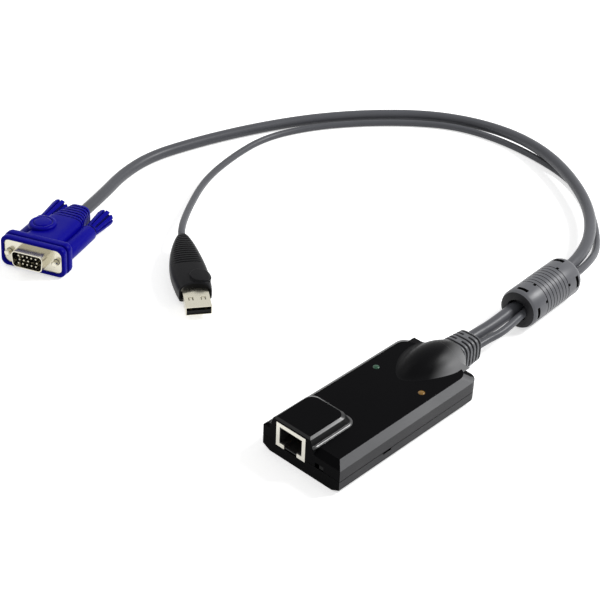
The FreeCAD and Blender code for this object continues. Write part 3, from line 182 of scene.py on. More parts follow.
def grid_mesh(name, points, material, body, place=None, close_u=True, caps=False, attributes=None):
    """Mesh of a grid of points, rows along v and columns along u, in millimetres of the piece's own frame.

    Quads join each point to its neighbours; the columns close on themselves when close_u is set, and
    caps adds a fan at each end of the rows.  Attributes are values per grid point, kept on the mesh.
    """
    rows, columns, _ = points.shape
    index = np.arange(rows * columns).reshape(rows, columns)
    right = np.roll(index, -1, axis=1) if close_u else index[:, 1:]
    here = index if close_u else index[:, :-1]
    quads = np.stack([here[:-1], right[:-1], right[1:], here[1:]], axis=-1).reshape(-1, 4)
    vertices = points.reshape(-1, 3)
    faces = quads.tolist()
    if caps:
        ends = np.stack([points[0].mean(axis=0), points[-1].mean(axis=0)])
        vertices = np.vstack([vertices, ends])
        first, last = rows * columns, rows * columns + 1
        ring = np.arange(columns)
        after = np.roll(ring, -1)
        faces += np.stack([np.full(columns, first), after, ring], axis=1).tolist()
        top = (rows - 1) * columns
        faces += np.stack([np.full(columns, last), top + ring, top + after], axis=1).tolist()
    mesh = bpy.data.meshes.new(name)
    mesh.from_pydata((vertices * MM).tolist(), [], faces)
    if attributes:
        for key, values in attributes.items():
            layer = mesh.attributes.new(key, "FLOAT", "POINT")
            data = np.zeros(len(vertices), np.float32)
            data[:rows * columns] = values.reshape(-1)
            layer.data.foreach_set("value", data)
    if place is not None:
        mesh.transform(place_matrix(place))
    mesh.polygons.foreach_set("use_smooth", np.ones(len(mesh.polygons), bool))
    mesh.update()
    piece = add_object(name, mesh)
    mesh.materials.append(material)
    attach(piece, body)
    return piece


def super_section(angle, half_wide, half_high, power):
    """Superellipse |x/a|^n + |z/b|^n = 1 as (x, z) at each angle; n = 2 is an ellipse, large n a box."""
    c, s = np.cos(angle), np.sin(angle)
    radius = (np.abs(c / half_wide) ** power + np.abs(s / half_high) ** power) ** (-1.0 / power)
    return radius * c, radius * s


def round_grid(rows, count):
    """Row values and angles of a grid that closes round its columns."""
    return np.meshgrid(rows, np.linspace(0, 2 * math.pi, count, endpoint=False), indexing="ij")


def turned(radius, y, angle):
    """Surface of revolution about y, for a radius at each point of a grid."""
    return np.stack([radius * np.cos(angle), y, radius * np.sin(angle)], axis=-1)


def smooth_step(value, low, high):
    """0 below low, 1 above high, and the cubic 3t^2 - 2t^3 between."""
    t = np.clip((value - low) / (high - low), 0.0, 1.0)
    return t * t * (3.0 - 2.0 * t)


def pulse(value, centre, half, edge):
    """1 inside centre +- half, 0 outside, with soft shoulders of the given width."""
    return smooth_step(half + edge - np.abs(value - centre), 0.0, edge)


def pulses(value, centres, half, edge):
    """The highest of several like pulses, one at each centre."""
    return np.max([pulse(value, centre, half, edge) for centre in centres], axis=0)


def spread(values, grid):
    """One value for each row, repeated over the columns of a grid."""
    return values[:, None] + 0 * grid


def along(stations, y, column):
    """Value of a station table at y: cubic Hermite pieces with slopes from the neighbouring stations."""
    table = np.array(stations, float)
    ys, vs = table[:, 0], table[:, column]
    slopes = np.gradient(vs, ys)
    k = np.clip(np.searchsorted(ys, y) - 1, 0, len(ys) - 2)
    h = ys[k + 1] - ys[k]
    t = (y - ys[k]) / h
    return ((2 * t ** 3 - 3 * t ** 2 + 1) * vs[k] + (t ** 3 - 2 * t ** 2 + t) * h * slopes[k]
            + (-2 * t ** 3 + 3 * t ** 2) * vs[k + 1] + (t ** 3 - t ** 2) * h * slopes[k + 1])


def dressed_copy(node, material, round_width=0.0, segments=2, angle=25.0, edge_material=None):
    """A copy of a CAD node, merged and with softly rounded edges, that stands for the node."""
    source = NODES[node]
    piece = source.copy()
    piece.data = source.data.copy()
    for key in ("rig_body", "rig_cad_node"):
        if key in piece:
            del piece[key]
    piece.parent = None
    piece.name = node + "_moulded"
    piece.data.name = piece.name
    bpy.context.scene.collection.objects.link(piece)
    bpy.ops.object.select_all(action="DESELECT")
    bpy.context.view_layer.objects.active = piece
    piece.select_set(True)
    bpy.ops.object.mode_set(mode="EDIT")
    bpy.ops.mesh.select_all(action="SELECT")
    if piece.data.has_custom_normals:
        bpy.ops.mesh.customdata_custom_splitnormals_clear()
    bpy.ops.mesh.remove_doubles(threshold=0.000002)
    bpy.ops.mesh.dissolve_limited(angle_limit=math.radians(0.4))
    bpy.ops.object.mode_set(mode="OBJECT")
    piece.data.materials.clear()
    piece.data.materials.append(material)
    piece.data.polygons.foreach_set("use_smooth", np.ones(len(piece.data.polygons), bool))
    bpy.ops.object.shade_smooth_by_angle(angle=math.radians(angle))
    if round_width:
        bevel = piece.modifiers.new("Rounded edges", "BEVEL")
        bevel.width = round_width
        bevel.segments = segments
        bevel.limit_method = "ANGLE"
        bevel.angle_limit = math.radians(angle)
        bevel.use_clamp_overlap = True
        bevel.harden_normals = True
        if edge_material is not None:
            piece.data.materials.append(edge_material)
            bevel.material = 1
    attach(piece, body_of(node))
    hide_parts(node)
    return piece


def body_of(node):
    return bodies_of(NODES[node])[0]


def finish_nodes(*rows):
    """Show CAD nodes in plain finishes; a row is node, finish, colour, roughness and specular."""
    for node, name, colour, roughness, specular in rows:
        finish_node(node, plain_material(name, colour, roughness, specular=specular))


def finish_node(node, material):
    """Show the CAD node itself in a finish."""
    node_object = NODES[node]
    node_object.data.materials.clear()
    node_object.data.materials.append(material)


# ------------------------------------------------------------------------------- finishes

def faces_of(mesh):
    """Centres of the faces in metres, their normals, and room for their material numbers."""
    count = len(mesh.polygons)
    centre, normal = np.empty(count * 3, np.float32), np.empty(count * 3, np.float32)
    mesh.polygons.foreach_get("center", centre)
    mesh.polygons.foreach_get("normal", normal)
    return centre.reshape(-1, 3), normal.reshape(-1, 3), np.zeros(count, np.int32)


def math_node(tree, operation, first, second):
    """Result of one sum; each side is a socket or a number."""
    node = tree.nodes.new("ShaderNodeMath")
    node.operation = operation
    for socket, value in zip(node.inputs, (first, second)):
        if isinstance(value, bpy.types.NodeSocket):
            tree.links.new(value, socket)
        else:
            socket.default_value = value
    return node.outputs[0]


def mix_colours(tree, factor, first, second):
    """Base colour of the tree's shader: first where the factor is 0 and second where it is 1."""
    mix = tree.nodes.new("ShaderNodeMix")
    mix.data_type = "RGBA"
    tree.links.new(factor, mix.inputs[0])
    for socket, value in ((mix.inputs[6], first), (mix.inputs[7], second)):
        if isinstance(value, bpy.types.NodeSocket):
            tree.links.new(value, socket)
        else:
            socket.default_value = (*value, 1.0)
    tree.links.new(mix.outputs[2], tree.nodes["Principled BSDF"].inputs["Base Color"])


def set_inputs(node, values):
    """Give several of a node's sockets their values, by name."""
    for label, value in values.items():
        node.inputs[label].default_value = value


def new_group(name, inputs, outputs):
    """Empty shader group with named float or colour sockets; returns it with its two ends."""
    group = bpy.data.node_groups.new(name, "ShaderNodeTree")
    for label, kind, default in inputs:
        socket = group.interface.new_socket(label, in_out="INPUT", socket_type=kind)
        if default is not None:
            socket.default_value = default
    for label, kind in outputs:
        group.interface.new_socket(label, in_out="OUTPUT", socket_type=kind)
    return group, group.nodes.new("NodeGroupInput"), group.nodes.new("NodeGroupOutput")


def fine_grain_group():
    """Fine moulded grain: a small noise gives the height and a slight change of colour and roughness."""
    if "Fine grain" in bpy.data.node_groups:
        return bpy.data.node_groups["Fine grain"]
    group, start, end = new_group(
        "Fine grain",
        [("Color", "NodeSocketColor", (0.5, 0.5, 0.5, 1)), ("Roughness", "NodeSocketFloat", 0.5),
         ("Grain size", "NodeSocketFloat", 900.0), ("Depth", "NodeSocketFloat", 0.2),
         ("Variation", "NodeSocketFloat", 0.1)],
        [("Color", "NodeSocketColor"), ("Roughness", "NodeSocketFloat"), ("Normal", "NodeSocketVector")])
    link = group.links.new
    place = group.nodes.new("ShaderNodeTexCoord")
    grain = group.nodes.new("ShaderNodeTexNoise")
    grain.inputs["Detail"].default_value = 3.0
    link(place.outputs["Object"], grain.inputs["Vector"])
    link(start.outputs["Grain size"], grain.inputs["Scale"])
    cloud = group.nodes.new("ShaderNodeTexNoise")
    set_inputs(cloud, {"Scale": 55.0, "Detail": 4.0})
    link(place.outputs["Object"], cloud.inputs["Vector"])
    bump = group.nodes.new("ShaderNodeBump")
    bump.inputs["Distance"].default_value = 0.0001
    link(grain.outputs["Fac"], bump.inputs["Height"])
    link(start.outputs["Depth"], bump.inputs["Strength"])
    centred = math_node(group, "SUBTRACT", cloud.outputs["Fac"], 0.5)
    swing = math_node(group, "MULTIPLY", centred, start.outputs["Variation"])
    rough = math_node(group, "ADD", swing, start.outputs["Roughness"])
    lift = math_node(group, "ADD", swing, 1.0)
    tint = group.nodes.new("ShaderNodeVectorMath")
    tint.operation = "SCALE"
    link(start.outputs["Color"], tint.inputs[0])
    link(lift, tint.inputs["Scale"])
    link(tint.outputs["Vector"], end.inputs["Color"])
    link(rough, end.inputs["Roughness"])
    link(bump.outputs["Normal"], end.inputs["Normal"])
    return group


def plain_material(name, colour, roughness=0.4, metallic=0.0, specular=0.5):
    """Principled material whose values are all on its own sockets."""
    if name in bpy.data.materials:
        return bpy.data.materials[name]
    material = bpy.data.materials.new(name)
    material.use_nodes = True
    set_inputs(material.node_tree.nodes["Principled BSDF"],
               {"Base Color": (*colour, 1.0), "Roughness": roughness, "Metallic": metallic,
                "Specular IOR Level": specular})
    material.diffuse_color = (*colour, 1.0)
    return material


def grained_material(name, colour, roughness, grain_size, depth, variation=0.1, metallic=0.0, specular=0.5):
    """Moulded plastic or rolled sheet with the fine grain group."""
    if name in bpy.data.materials:
        return bpy.data.materials[name]
    material = plain_material(name, colour, roughness, metallic, specular)
    tree = material.node_tree
    grain = tree.nodes.new("ShaderNodeGroup")
    grain.node_tree = fine_grain_group()
    set_inputs(grain, {"Color": (*colour, 1.0), "Roughness": roughness, "Grain size": grain_size,
                       "Depth": depth, "Variation": variation})
    shader = tree.nodes["Principled BSDF"]
    for result, socket in (("Color", "Base Color"), ("Roughness", "Roughness"), ("Normal", "Normal")):
        tree.links.new(grain.outputs[result], shader.inputs[socket])
    return material


def case_material(settings):
    return grained_material("Cover gloss", settings.case_colour, 0.25, 1500.0, 0.04, 0.1, specular=0.015)


def edge_material(settings):
    return plain_material("Cover edge", settings.case_colour, 0.3, specular=0.3)


def foot_material(settings):
    return plain_material("Cover foot line", settings.case_colour, 0.3, specular=1.0)


def side_material(settings):
    return grained_material("Cover side", settings.side_colour, 0.5, 1600.0, 0.5, 0.2, specular=0.25)


def painted_light_fade_material(name, first, second, direction, start, end, roughness, specular):
    """Plastic whose colour fades from one to the other along a direction, in metres of its own place: a
    painted change of light across the piece.
    """
    if name in bpy.data.materials:
        return bpy.data.materials[name]
    material = grained_material(name, first, roughness, 1600.0, 0.35, 0.15, specular=specular)
    tree = material.node_tree
    place, run = tree.nodes.new("ShaderNodeTexCoord"), tree.nodes.new("ShaderNodeVectorMath")
    run.operation = "DOT_PRODUCT"
    run.inputs[1].default_value = direction
    fade = tree.nodes.new("ShaderNodeMapRange")
    fade.interpolation_type = "SMOOTHSTEP"
    set_inputs(fade, {"From Min": start, "From Max": end})
    tree.links.new(place.outputs["Object"], run.inputs[0])
    tree.links.new(run.outputs["Value"], fade.inputs["Value"])
    mix_colours(tree, fade.outputs["Result"], first, second)
    return material


def bevel_lit_side_material(settings):
    """Grained bevel whose colour fades from the dark top colour to a lighter grey towards the switch side:
    painted light, standing in for the lamp's gloss on that side.
    """
    return painted_light_fade_material("Cover bevel painted light", settings.case_colour, settings.bevel_lit_colour,
                           (1, 0, 0), -0.005, 0.012, 0.48, 0.3)


def boss_highlight_material(settings):
    """Painted highlight: the glossy top's dark colour fades across the boss into a light grey towards the
    switch side, standing in for the light that falls there.
    """
    return painted_light_fade_material("Cover boss painted highlight", settings.case_colour, settings.boss_highlight_colour,
                           (1, 0.35, 0), 0.0165, 0.026, 0.34, 0.04)


def shade_grooves(material, dark):
    """Painted shade: darken the material where the mesh's groove attribute is 1, for the shade that falls in
    grooves and hollows.
    """
    tree = material.node_tree
    source = tree.nodes["Principled BSDF"].inputs["Base Color"].links[0].from_socket
    mask = tree.nodes.new("ShaderNodeAttribute")
    mask.attribute_name = "groove"
    mix_colours(tree, mask.outputs["Fac"], source, dark)


def cable_material(settings):
    return grained_material("Cable jacket", settings.jacket_colour, 0.36, 900.0, 0.15, 0.15, specular=0.2)


def blue_material(settings):
    return grained_material("Blue moulding", settings.vga_colour, 0.36, 1200.0, 0.15, 0.15, specular=0.05)


def steel_material(settings):
    return grained_material("Nickel plate", settings.steel_colour, 0.24, 400.0, 0.05, 0.1, metallic=1.0)


def gold_material():
    return plain_material("Gold flash", (0.83, 0.6, 0.25), 0.25, metallic=1.0)


# ------------------------------------------------------------------------------- adapter box

def boss_radius(y):
    """Radius of the boss along y: two circular arcs that are level where they meet at the crown."""
    tip_run, tip_drop = BOSS_CROWN_Y - BOSS_TIP_Y, BOSS_CROWN_R - BOSS_TIP_R
    end_run, end_drop = BOOT_START - BOSS_CROWN_Y, BOSS_CROWN_R - BOSS_END_R
    tip_arc = (tip_run ** 2 + tip_drop ** 2) / (2 * tip_drop)
    end_arc = (end_run ** 2 + end_drop ** 2) / (2 * end_drop)
    arc = np.where(y < BOSS_CROWN_Y, tip_arc, end_arc)
    run = np.clip(y - BOSS_CROWN_Y, -tip_run - 3, end_run)
    return BOSS_CROWN_R - arc + np.sqrt(np.maximum(arc ** 2 - run ** 2, 0.0))


def boss_skin():
    """Skin over the boss on the flat top: the higher of the two surfaces, with a soft concave foot.

    The boss is a surface of revolution about y.  Its height is the axis height plus the root of radius
    squared less x squared, and goes on as a straight 45 degree slope where it would be steeper.  Where
    it and the flat top are closer in height than the blend k, the skin lies (k - gap)^2 / 4k above the
    higher one.  On the side of positive x the blend widens towards the rear.  The edges dip just under.
    """
    half, front, rear, sink = 15.5, 14.5, 43.8, 0.05
    x = np.linspace(-half, half, 156)
    y = np.append(np.linspace(front, rear, 180), rear + 0.02)
    yy, xx = np.meshgrid(y, x, indexing="ij")
    radius = boss_radius(yy)
    steep = radius * math.sqrt(0.5)
    boss = BOSS_AXIS_Z + np.sqrt(np.maximum(radius ** 2 - xx ** 2, 0.0))
    boss = np.where(np.abs(xx) < steep, boss, BOSS_AXIS_Z + 2 * steep - np.abs(xx))
    flat = np.full_like(boss, TOP_Z)
    blend = 1.7 + 1.9 * smooth_step(yy, 26.0, 41.0) * smooth_step(xx, -3.0, 3.0)
    near = np.maximum(blend - np.abs(boss - flat), 0.0)
    z = np.maximum(boss, flat) + near ** 2 / (4 * blend)
    rim = np.minimum(np.minimum(xx + half, half - xx), yy - front)
    bare = smooth_step(-near, -0.02, 0.0) * (boss < flat)
    z = z + 0.012 - sink * smooth_step(-rim, -0.6, 0.0) - sink * bare
    true_boss = BOSS_AXIS_Z + np.sqrt(np.maximum(radius[-1] ** 2 - x ** 2, 0.0))
    z[-1] = np.maximum(true_boss, TOP_Z) - sink
    return np.stack([xx, yy, z], axis=-1)


def block_foot():
    """Concave fillet round the foot of the jack block, as a closed section carried along the foot's line.

    The line runs up the right wall, round the rear and back along the left.  At each point the section
    is a quadratic curve from the wall to the flat top whose control point is the foot itself.
    """
    quarter = np.linspace(0, math.pi / 2, 13)
    low, rear = FOOT_FRONT, FOOT_REAR - FOOT_CORNER
    right, left = FOOT_RIGHT - FOOT_CORNER, FOOT_LEFT + FOOT_CORNER
    start = np.linspace(low, rear, 8)[:-1]
    turn = np.concatenate([0 * start, quarter, quarter + math.pi / 2, 0 * start + math.pi])
    x = np.concatenate([0 * start + right, 0 * quarter + right, 0 * quarter + left, 0 * start + left])
    y = np.concatenate([start, 0 * quarter + rear, 0 * quarter + rear, start[::-1]])
    out_x, out_y = np.cos(turn), np.sin(turn)
    x, y = x + FOOT_CORNER * out_x, y + FOOT_CORNER * out_y
    slope = FOOT_SIDE_SLOPE + (FOOT_REAR_SLOPE - FOOT_SIDE_SLOPE) * out_y ** 2
    t = np.linspace(0, 1, 10)
    away = np.append(-(1 - t)[None, :] ** 2 * slope[:, None] + t[None, :] ** 2, -0.3 + 0 * x[:, None], axis=1)
    height = np.append((1 - t) ** 2, -0.1) * FOOT_FILLET + TOP_Z + 0.01
    away = away * FOOT_FILLET
    return np.stack([x[:, None] + away * out_x[:, None], y[:, None] + away * out_y[:, None],
                     height[None, :] + 0 * away], axis=-1)


def ease_rear_corners(piece):
    """Widen the outer rounding of both rear corners of a cover, seen from above.

    At a height the outline has an inset and a corner radius.  A point at angle t on the corner's arc
    moves by the growth there times (cos t - 1, sin t - 1): the arc grows and its ends slide along the
    walls.
    """
    mesh = piece.data
    count = len(mesh.vertices)
    flat = np.empty(count * 3, np.float32)
    mesh.vertices.foreach_get("co", flat)
    points = flat.reshape(-1, 3).astype(float) / MM
    x, y, z = points.T
    inset = np.interp(z, *CASE_INSET)
    radius = np.interp(z, *CASE_RADIUS)
    growth = np.interp(z, *CORNER_GROWTH)
    centre_x, centre_y = CASE_HALF - inset - radius, CASE_REAR - inset - radius
    over_x, over_y = np.abs(x) - centre_x, y - centre_y
    reach = np.hypot(over_x, over_y)
    on_arc = (np.abs(reach - radius) < 0.06) & (over_x > -0.02) & (over_y > -0.02)
    points[:, 0] += np.where(on_arc, np.sign(x) * growth * (over_x / reach - 1), 0.0)
    points[:, 1] += np.where(on_arc, growth * (over_y / reach - 1), 0.0)
    mesh.vertices.foreach_set("co", (points * MM).astype(np.float32).reshape(-1))
    mesh.update()


def paint_cover(piece, settings):
    """Give the side walls, bevel, boss and block edges their finishes, by each face's place and direction;
    the bevel and boss carry painted light, and walls facing the front keep the dark top finish as painted
    shade.
    """
    mesh = piece.data
    for finish in (side_material(settings), bevel_lit_side_material(settings), boss_highlight_material(settings)):
        mesh.materials.append(finish)
    centre, normal, index = faces_of(mesh)
    x, y, z = (centre / MM).T
    nx, ny, nz = normal.T
    boss = (np.abs(np.hypot(x, z - BOSS_AXIS_Z) - boss_radius(y)) < 0.25) & (y > BOSS_TIP_Y - 1)
    outside = (np.abs(x) > BLOCK_ZONE) | (y > BLOCK_BACK)
    # Painted shade: faces that look to the front are left out of the lighter side and bevel finishes, so they
    # stay dark.
    front = ny < -0.7
    bevel = outside & ~boss & ~front & (z > 11.4) & (nz > 0.3) & (nz < 0.985) & (np.abs(nx) > np.abs(ny))
    wall = outside & ~boss & ~front & (nz < 0.3)
    block_round = (np.abs(x) < BLOCK_ZONE) & (y < BLOCK_BACK) & (z > TOP_Z - 0.5) & (nz > 0.12) & (nz < 0.99)
    index[wall], index[bevel], index[boss], index[block_round] = 2, 3, 4, 1
    mesh.polygons.foreach_set("material_index", index)


class DONGLE_OT_covers(bpy.types.Operator):
    """Adds both moulded covers of the adapter box, the boss's skin and the fillet at the block's foot"""

    bl_idname = "dongle.covers"
    bl_label = "Covers"

    def execute(self, context):
        settings = context.scene.dongle_box
        finish, edge = case_material(settings), edge_material(settings)
        for node in ("top_cover", "bottom_cover"):
            piece = dressed_copy(node, finish, settings.edge_round, segments=3, angle=20.0,
                                 edge_material=edge)
            paint_cover(piece, settings)
            ease_rear_corners(piece)
        skin = grid_mesh("boss_skin", boss_skin(), boss_highlight_material(settings), body_of("top_cover"),
                         close_u=False)
        foot = grid_mesh("block_foot", block_foot(), foot_material(settings), body_of("top_cover"), caps=True)
        return {"FINISHED"}


class DONGLE_OT_jack(bpy.types.Operator):
    """Finishes the network jack: its shield, insert and contact wires"""

    bl_idname = "dongle.jack"
    bl_label = "Network jack"

    def execute(self, context):
        settings = context.scene.dongle_box
        shield = grained_material("Tinned sheet", settings.shield_colour, 0.3, 500.0, 0.06, 0.15,
                                  metallic=0.85)
        piece = dressed_copy("rj45_shield", shield, 0.00012, segments=2, angle=30.0)
        finish_node("rj45_insert", plain_material("Jack insert", (0.012, 0.012, 0.012), 0.45))
        finish_node("rj45_contacts", gold_material())
        return {"FINISHED"}


class DONGLE_OT_switch(bpy.types.Operator):
    """Finishes the slide switch and its knob"""

    bl_idname = "dongle.switch"
    bl_label = "Slide switch"

    def execute(self, context):
        finish_nodes(("switch_body", "Switch body", (0.01, 0.01, 0.01), 0.45, 0.1),
                     ("switch_knob", "Switch knob", (0.006, 0.006, 0.006), 0.4, 0.1))
        return {"FINISHED"}


class DONGLE_OT_lamps(bpy.types.Operator):
    """Finishes the green and amber light pipes"""

    bl_idname = "dongle.lamps"
    bl_label = "Light pipes"

    def execute(self, context):
        finish_nodes(("green_light_pipe", "Green lamp", (0.004, 0.06, 0.026), 0.12, 0.35),
                     ("amber_light_pipe", "Amber lamp", (0.2, 0.1, 0.008), 0.12, 0.35),
                     ("status_leds", "Lamp chip", (0.8, 0.75, 0.5), 0.3, 0.5))
        return {"FINISHED"}


class DONGLE_OT_board(bpy.types.Operator):
    """Finishes the circuit board and what is on it"""

    bl_idname = "dongle.board"
    bl_label = "Circuit board"

    def execute(self, context):
        finish_nodes(("circuit_board", "Solder mask", (0.01, 0.12, 0.05), 0.3, 0.5),
                     ("board_chips", "Chip epoxy", (0.02, 0.02, 0.02), 0.5, 0.5),
                     ("cable_header", "Header", (0.75, 0.72, 0.62), 0.45, 0.5),
                     ("cable_leads", "Inner leads", (0.2, 0.2, 0.22), 0.45, 0.5))
        return {"FINISHED"}


# ------------------------------------------------------------------------------- boot and lead

def boot_surface():
    """Ribbed boot: rounded-square sections that taper along y, with grooves cut by a mask.

    The half width falls in a straight line from the boss to the tip.  Each groove is a soft pulse
    along y times a mask around the section, so it stops short of the underside, and every second one
    also stops at the top.  The last stretch rounds over to the tip, and both ends fold inwards.
    """
    start, end = BOOT_START, BOOT_END
    fold = np.linspace(0.1, 1.0, 9) * math.pi / 2
    y = np.concatenate([[start, start, start], np.linspace(start, end - BOOT_ROUND, 150),
                        end - BOOT_ROUND + BOOT_ROUND * np.sin(fold), [end, end, end]])
    shrink = np.ones_like(y)
    shrink[:3] = [0.3, 0.75, 0.97]
    shrink[-12:-3] = 1 - 0.1 * (1 - np.cos(fold))
    shrink[-3:] = [0.85, 0.6, 0.3]
    yy, aa = round_grid(y, 192)
    half = BOOT_HALF - (BOOT_HALF - BOOT_TIP) * (yy - start) / (end - start)
    x, z = super_section(aa, half, half, 3.6)
    depth = np.zeros_like(yy)
    low_side = smooth_step(z, -4.34, -3.36)
    for number in range(BOOT_GROOVES):
        middle = start + BOOT_FIRST + BOOT_PITCH * number
        around = low_side
        if number % 2:
            around = around * smooth_step(np.abs(x) + (z < 0) * 10, 1.2, 1.8)
        depth = np.maximum(depth, pulse(yy, middle, 0.42, 0.2) * around)
    scale = shrink[:, None] * (1 - depth * BOOT_GROOVE_DEPTH / half)
    # The groove depth is also the mask of painted shade for the boot's finish.
    return np.stack([x * scale, yy, z * scale + BOSS_AXIS_Z], axis=-1), depth


class DONGLE_OT_boot(bpy.types.Operator):
    """Adds the ribbed boot behind the box"""

    bl_idname = "dongle.boot"
    bl_label = "Ribbed boot"

    def execute(self, context):
        settings = context.scene.dongle_lead
        points, depth = boot_surface()
        finish = grained_material("Boot rubber", settings.boot_colour, 0.42, 900.0, 0.2, 0.1, specular=0.3)
        # Painted shade: the boot's grooves are darkened to near black for the shade in them.
        shade_grooves(finish, (0.004, 0.004, 0.004))
        piece = grid_mesh("ribbed_boot", points, finish, body_of("cable_boot"), attributes={"groove": depth},
                          caps=True)
        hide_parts("cable_boot")
        return {"FINISHED"}


def cable_curve(name, route, diameter, material):
    """Round tube along a quadratic spline whose control points are the route."""
    curve = bpy.data.curves.new(name, "CURVE")
    curve.dimensions = "3D"
    curve.bevel_depth = diameter / 2
    curve.bevel_resolution = 8
    curve.resolution_u = 12
    curve.use_fill_caps = True
    spline = curve.splines.new("NURBS")
    spline.points.add(len(route) - 1)
    coordinates = np.ones((len(route), 4), np.float32)
    coordinates[:, :3] = np.array(route) * MM
    spline.points.foreach_set("co", coordinates.reshape(-1))
    spline.order_u = 3
    spline.use_endpoint_u = True
    spline.use_smooth = True
    piece = add_object(name, curve)
    curve.materials.append(material)
    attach(piece, "adapter")
    return piece


def route_length(route):
    """Length of the quadratic spline: each span is a parabola between the middles of two runs."""
    points = np.array(route) * MM
    middles = (points[:-1] + points[1:]) / 2
    middles[0], middles[-1] = points[0], points[-1]
    t = np.linspace(0, 1, 65)[None, :, None]
    before, corner, after = middles[:-1, None], points[1:-1, None], middles[1:, None]
    spans = before * (1 - t) ** 2 + corner * 2 * t * (1 - t) + after * t ** 2
    return float(np.linalg.norm(np.diff(spans, axis=1), axis=2).sum())


class DONGLE_OT_cables(bpy.types.Operator):
    """Adds both cables along their routes"""

    bl_idname = "dongle.cables"
    bl_label = "Cables"

    def execute(self, context):
        settings = context.scene.dongle_lead
        finish = cable_material(settings)
        vga_pieces = [NODES[n] for n in ("vga_shell", "vga_insulator", "vga_pins", "left_jackscrew",
                                         "right_jackscrew")]
        usb_pieces = [NODES[n] for n in ("usb_insulator", "usb_contacts", "usb_shell")]
        found = bpy.data.objects
        vga_pieces += [found[n] for n in ("plug_hood", "plug_frame", "left_knob", "right_knob", "left_sleeve",
                                         "right_sleeve", "ferrite_jacket_moulded")]
        vga_pieces.append(NODES["ferrite_core"])
        usb_pieces.append(found["usb_moulded_grip"])
        vga = cable_curve("thick_cable", VGA_ROUTE, settings.vga_diameter, finish)
        usb = cable_curve("thin_cable", USB_ROUTE, settings.usb_diameter, finish)
        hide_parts("vga_cable")
        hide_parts("usb_cable")
        route_length(VGA_ROUTE)
        route_length(USB_ROUTE)
        return {"FINISHED"}


def paint_ferrite(piece):
    """Painted shade: darken the ferrite's end faces, and its fine rings and windows, by each face's place on
    the jacket, for the shade that falls on them.
    """
    mesh = piece.data
    # Painted shade: the end and groove colours are darker copies of the jacket for the shade on those faces.
    mesh.materials.append(plain_material("Ferrite end painted shade", (0.012, 0.012, 0.014), 0.4, specular=0.2))
    mesh.materials.append(plain_material("Ferrite groove painted shade", (0.004, 0.004, 0.004), 0.5, specular=0.1))
    centre, normal, index = faces_of(mesh)
    back = np.array(place_matrix(FERRITE_PLACE).inverted())
    local = (centre @ back[:3, :3].T + back[:3, 3]) / MM
    facing = normal @ back[:3, :3].T
    radius = np.hypot(local[:, 0], local[:, 2])
    groove = (radius < FERRITE_RADIUS - 0.1) & (np.abs(local[:, 1]) < FERRITE_HALF - FERRITE_EASE)
    end = np.abs(facing[:, 1]) > 0.8
    index[end], index[groove] = 1, 2
    mesh.polygons.foreach_set("material_index", index)


class DONGLE_OT_ferrite(bpy.types.Operator):
    """Adds the ferrite's jacket and finishes its core"""

    bl_idname = "dongle.ferrite"
    bl_label = "Ferrite"

    def execute(self, context):
        settings = context.scene.dongle_lead
        finish = grained_material("Ferrite jacket", settings.ferrite_colour, 0.38, 900.0, 0.2, 0.1,
                                  specular=0.3)
        piece = dressed_copy("ferrite_jacket", finish, 0.00018, segments=2, angle=30.0)
        paint_ferrite(piece)
        finish_node("ferrite_core", plain_material("Ferrite core", (0.006, 0.006, 0.007), 0.4))
        return {"FINISHED"}


# ------------------------------------------------------------------------------- VGA plug

CROWN_X, CROWN_Y, CROWN_WIDE, CROWN_LONG = -5.4, 19.2, 6.6, 7.0
SCREW_OUT, KNOB_FLUTES = 12.5, 8
HOOD_START, HOOD_END = 7.2, 47.0
HOOD_RIBS, HOOD_RIBS_FRONT, HOOD_RIB_PITCH = 6, 32.0, 15.0 / 5.8
HOOD_STATIONS = [
    # y, half width, half height, squareness
    (7.2, 9.9, 6.7, 5.0), (12.0, 9.8, 6.6, 4.8), (18.0, 9.7, 6.55, 4.6), (24.0, 9.5, 6.5, 4.4),
    (29.0, 9.3, 6.5, 4.2), (32.0, 9.1, 6.45, 4.1), (36.0, 8.2, 6.25, 3.9), (40.0, 7.1, 5.95, 3.8),
    (44.0, 6.2, 5.7, 3.6), (47.0, 5.7, 5.5, 3.4)]


def hood_surface():
    """Hood behind the plug frame: superellipse sections along y, and six ribs.

    Half width, half height and squareness come from the stations.  Each rib stands out by a soft
    pulse along y.
    """
    y = np.concatenate([[HOOD_START] * 2, np.linspace(HOOD_START, 46.6, 320), [46.85, 46.97], [HOOD_END] * 3])
    shrink = np.ones_like(y)
    shrink[:2] = [0.4, 0.9]
    shrink[-5:] = [0.97, 0.93, 0.86, 0.6, 0.3]
    yy, aa = round_grid(y, 256)
    wide, high, power = (along(HOOD_STATIONS, yy, column) for column in (1, 2, 3))
    sunk = smooth_step(yy, 31.5, 32.0) * 0.95
    ribs = pulses(yy, HOOD_RIBS_FRONT + HOOD_RIB_PITCH * (np.arange(HOOD_RIBS) + 0.4), 0.72, 0.3)
    wide, high = wide - sunk * (1 - ribs), high - sunk * (1 - ribs)
    x, z = super_section(aa, wide, high, power)
    scale = shrink[:, None]
    # The second result is a mask of painted shade for the sunk bands between the ribs.
    return np.stack([x * scale, yy, z * scale], axis=-1), sunk * (1 - ribs)


def crown_surface():
    """Raised oval button on the hood: ellipses that turn over to a nearly flat top with one sunk ring."""
    profile = np.array([
        # share of the oval's half widths, height above the plug's axis
        (1.0, 1.0), (1.0, 7.0), (0.985, 7.4), (0.94, 7.8), (0.88, 8.0), (0.8, 8.1), (0.74, 8.1), (0.72, 7.75),
        (0.64, 7.75), (0.62, 8.15), (0.5, 8.25), (0.3, 8.35), (0.02, 8.4)])
    share, aa = round_grid(profile[:, 0], 128)
    height = spread(profile[:, 1], aa)
    x, y = CROWN_WIDE * share * np.cos(aa), CROWN_LONG * share * np.sin(aa)
    return np.stack([CROWN_X + x, CROWN_Y + y, height], axis=-1)


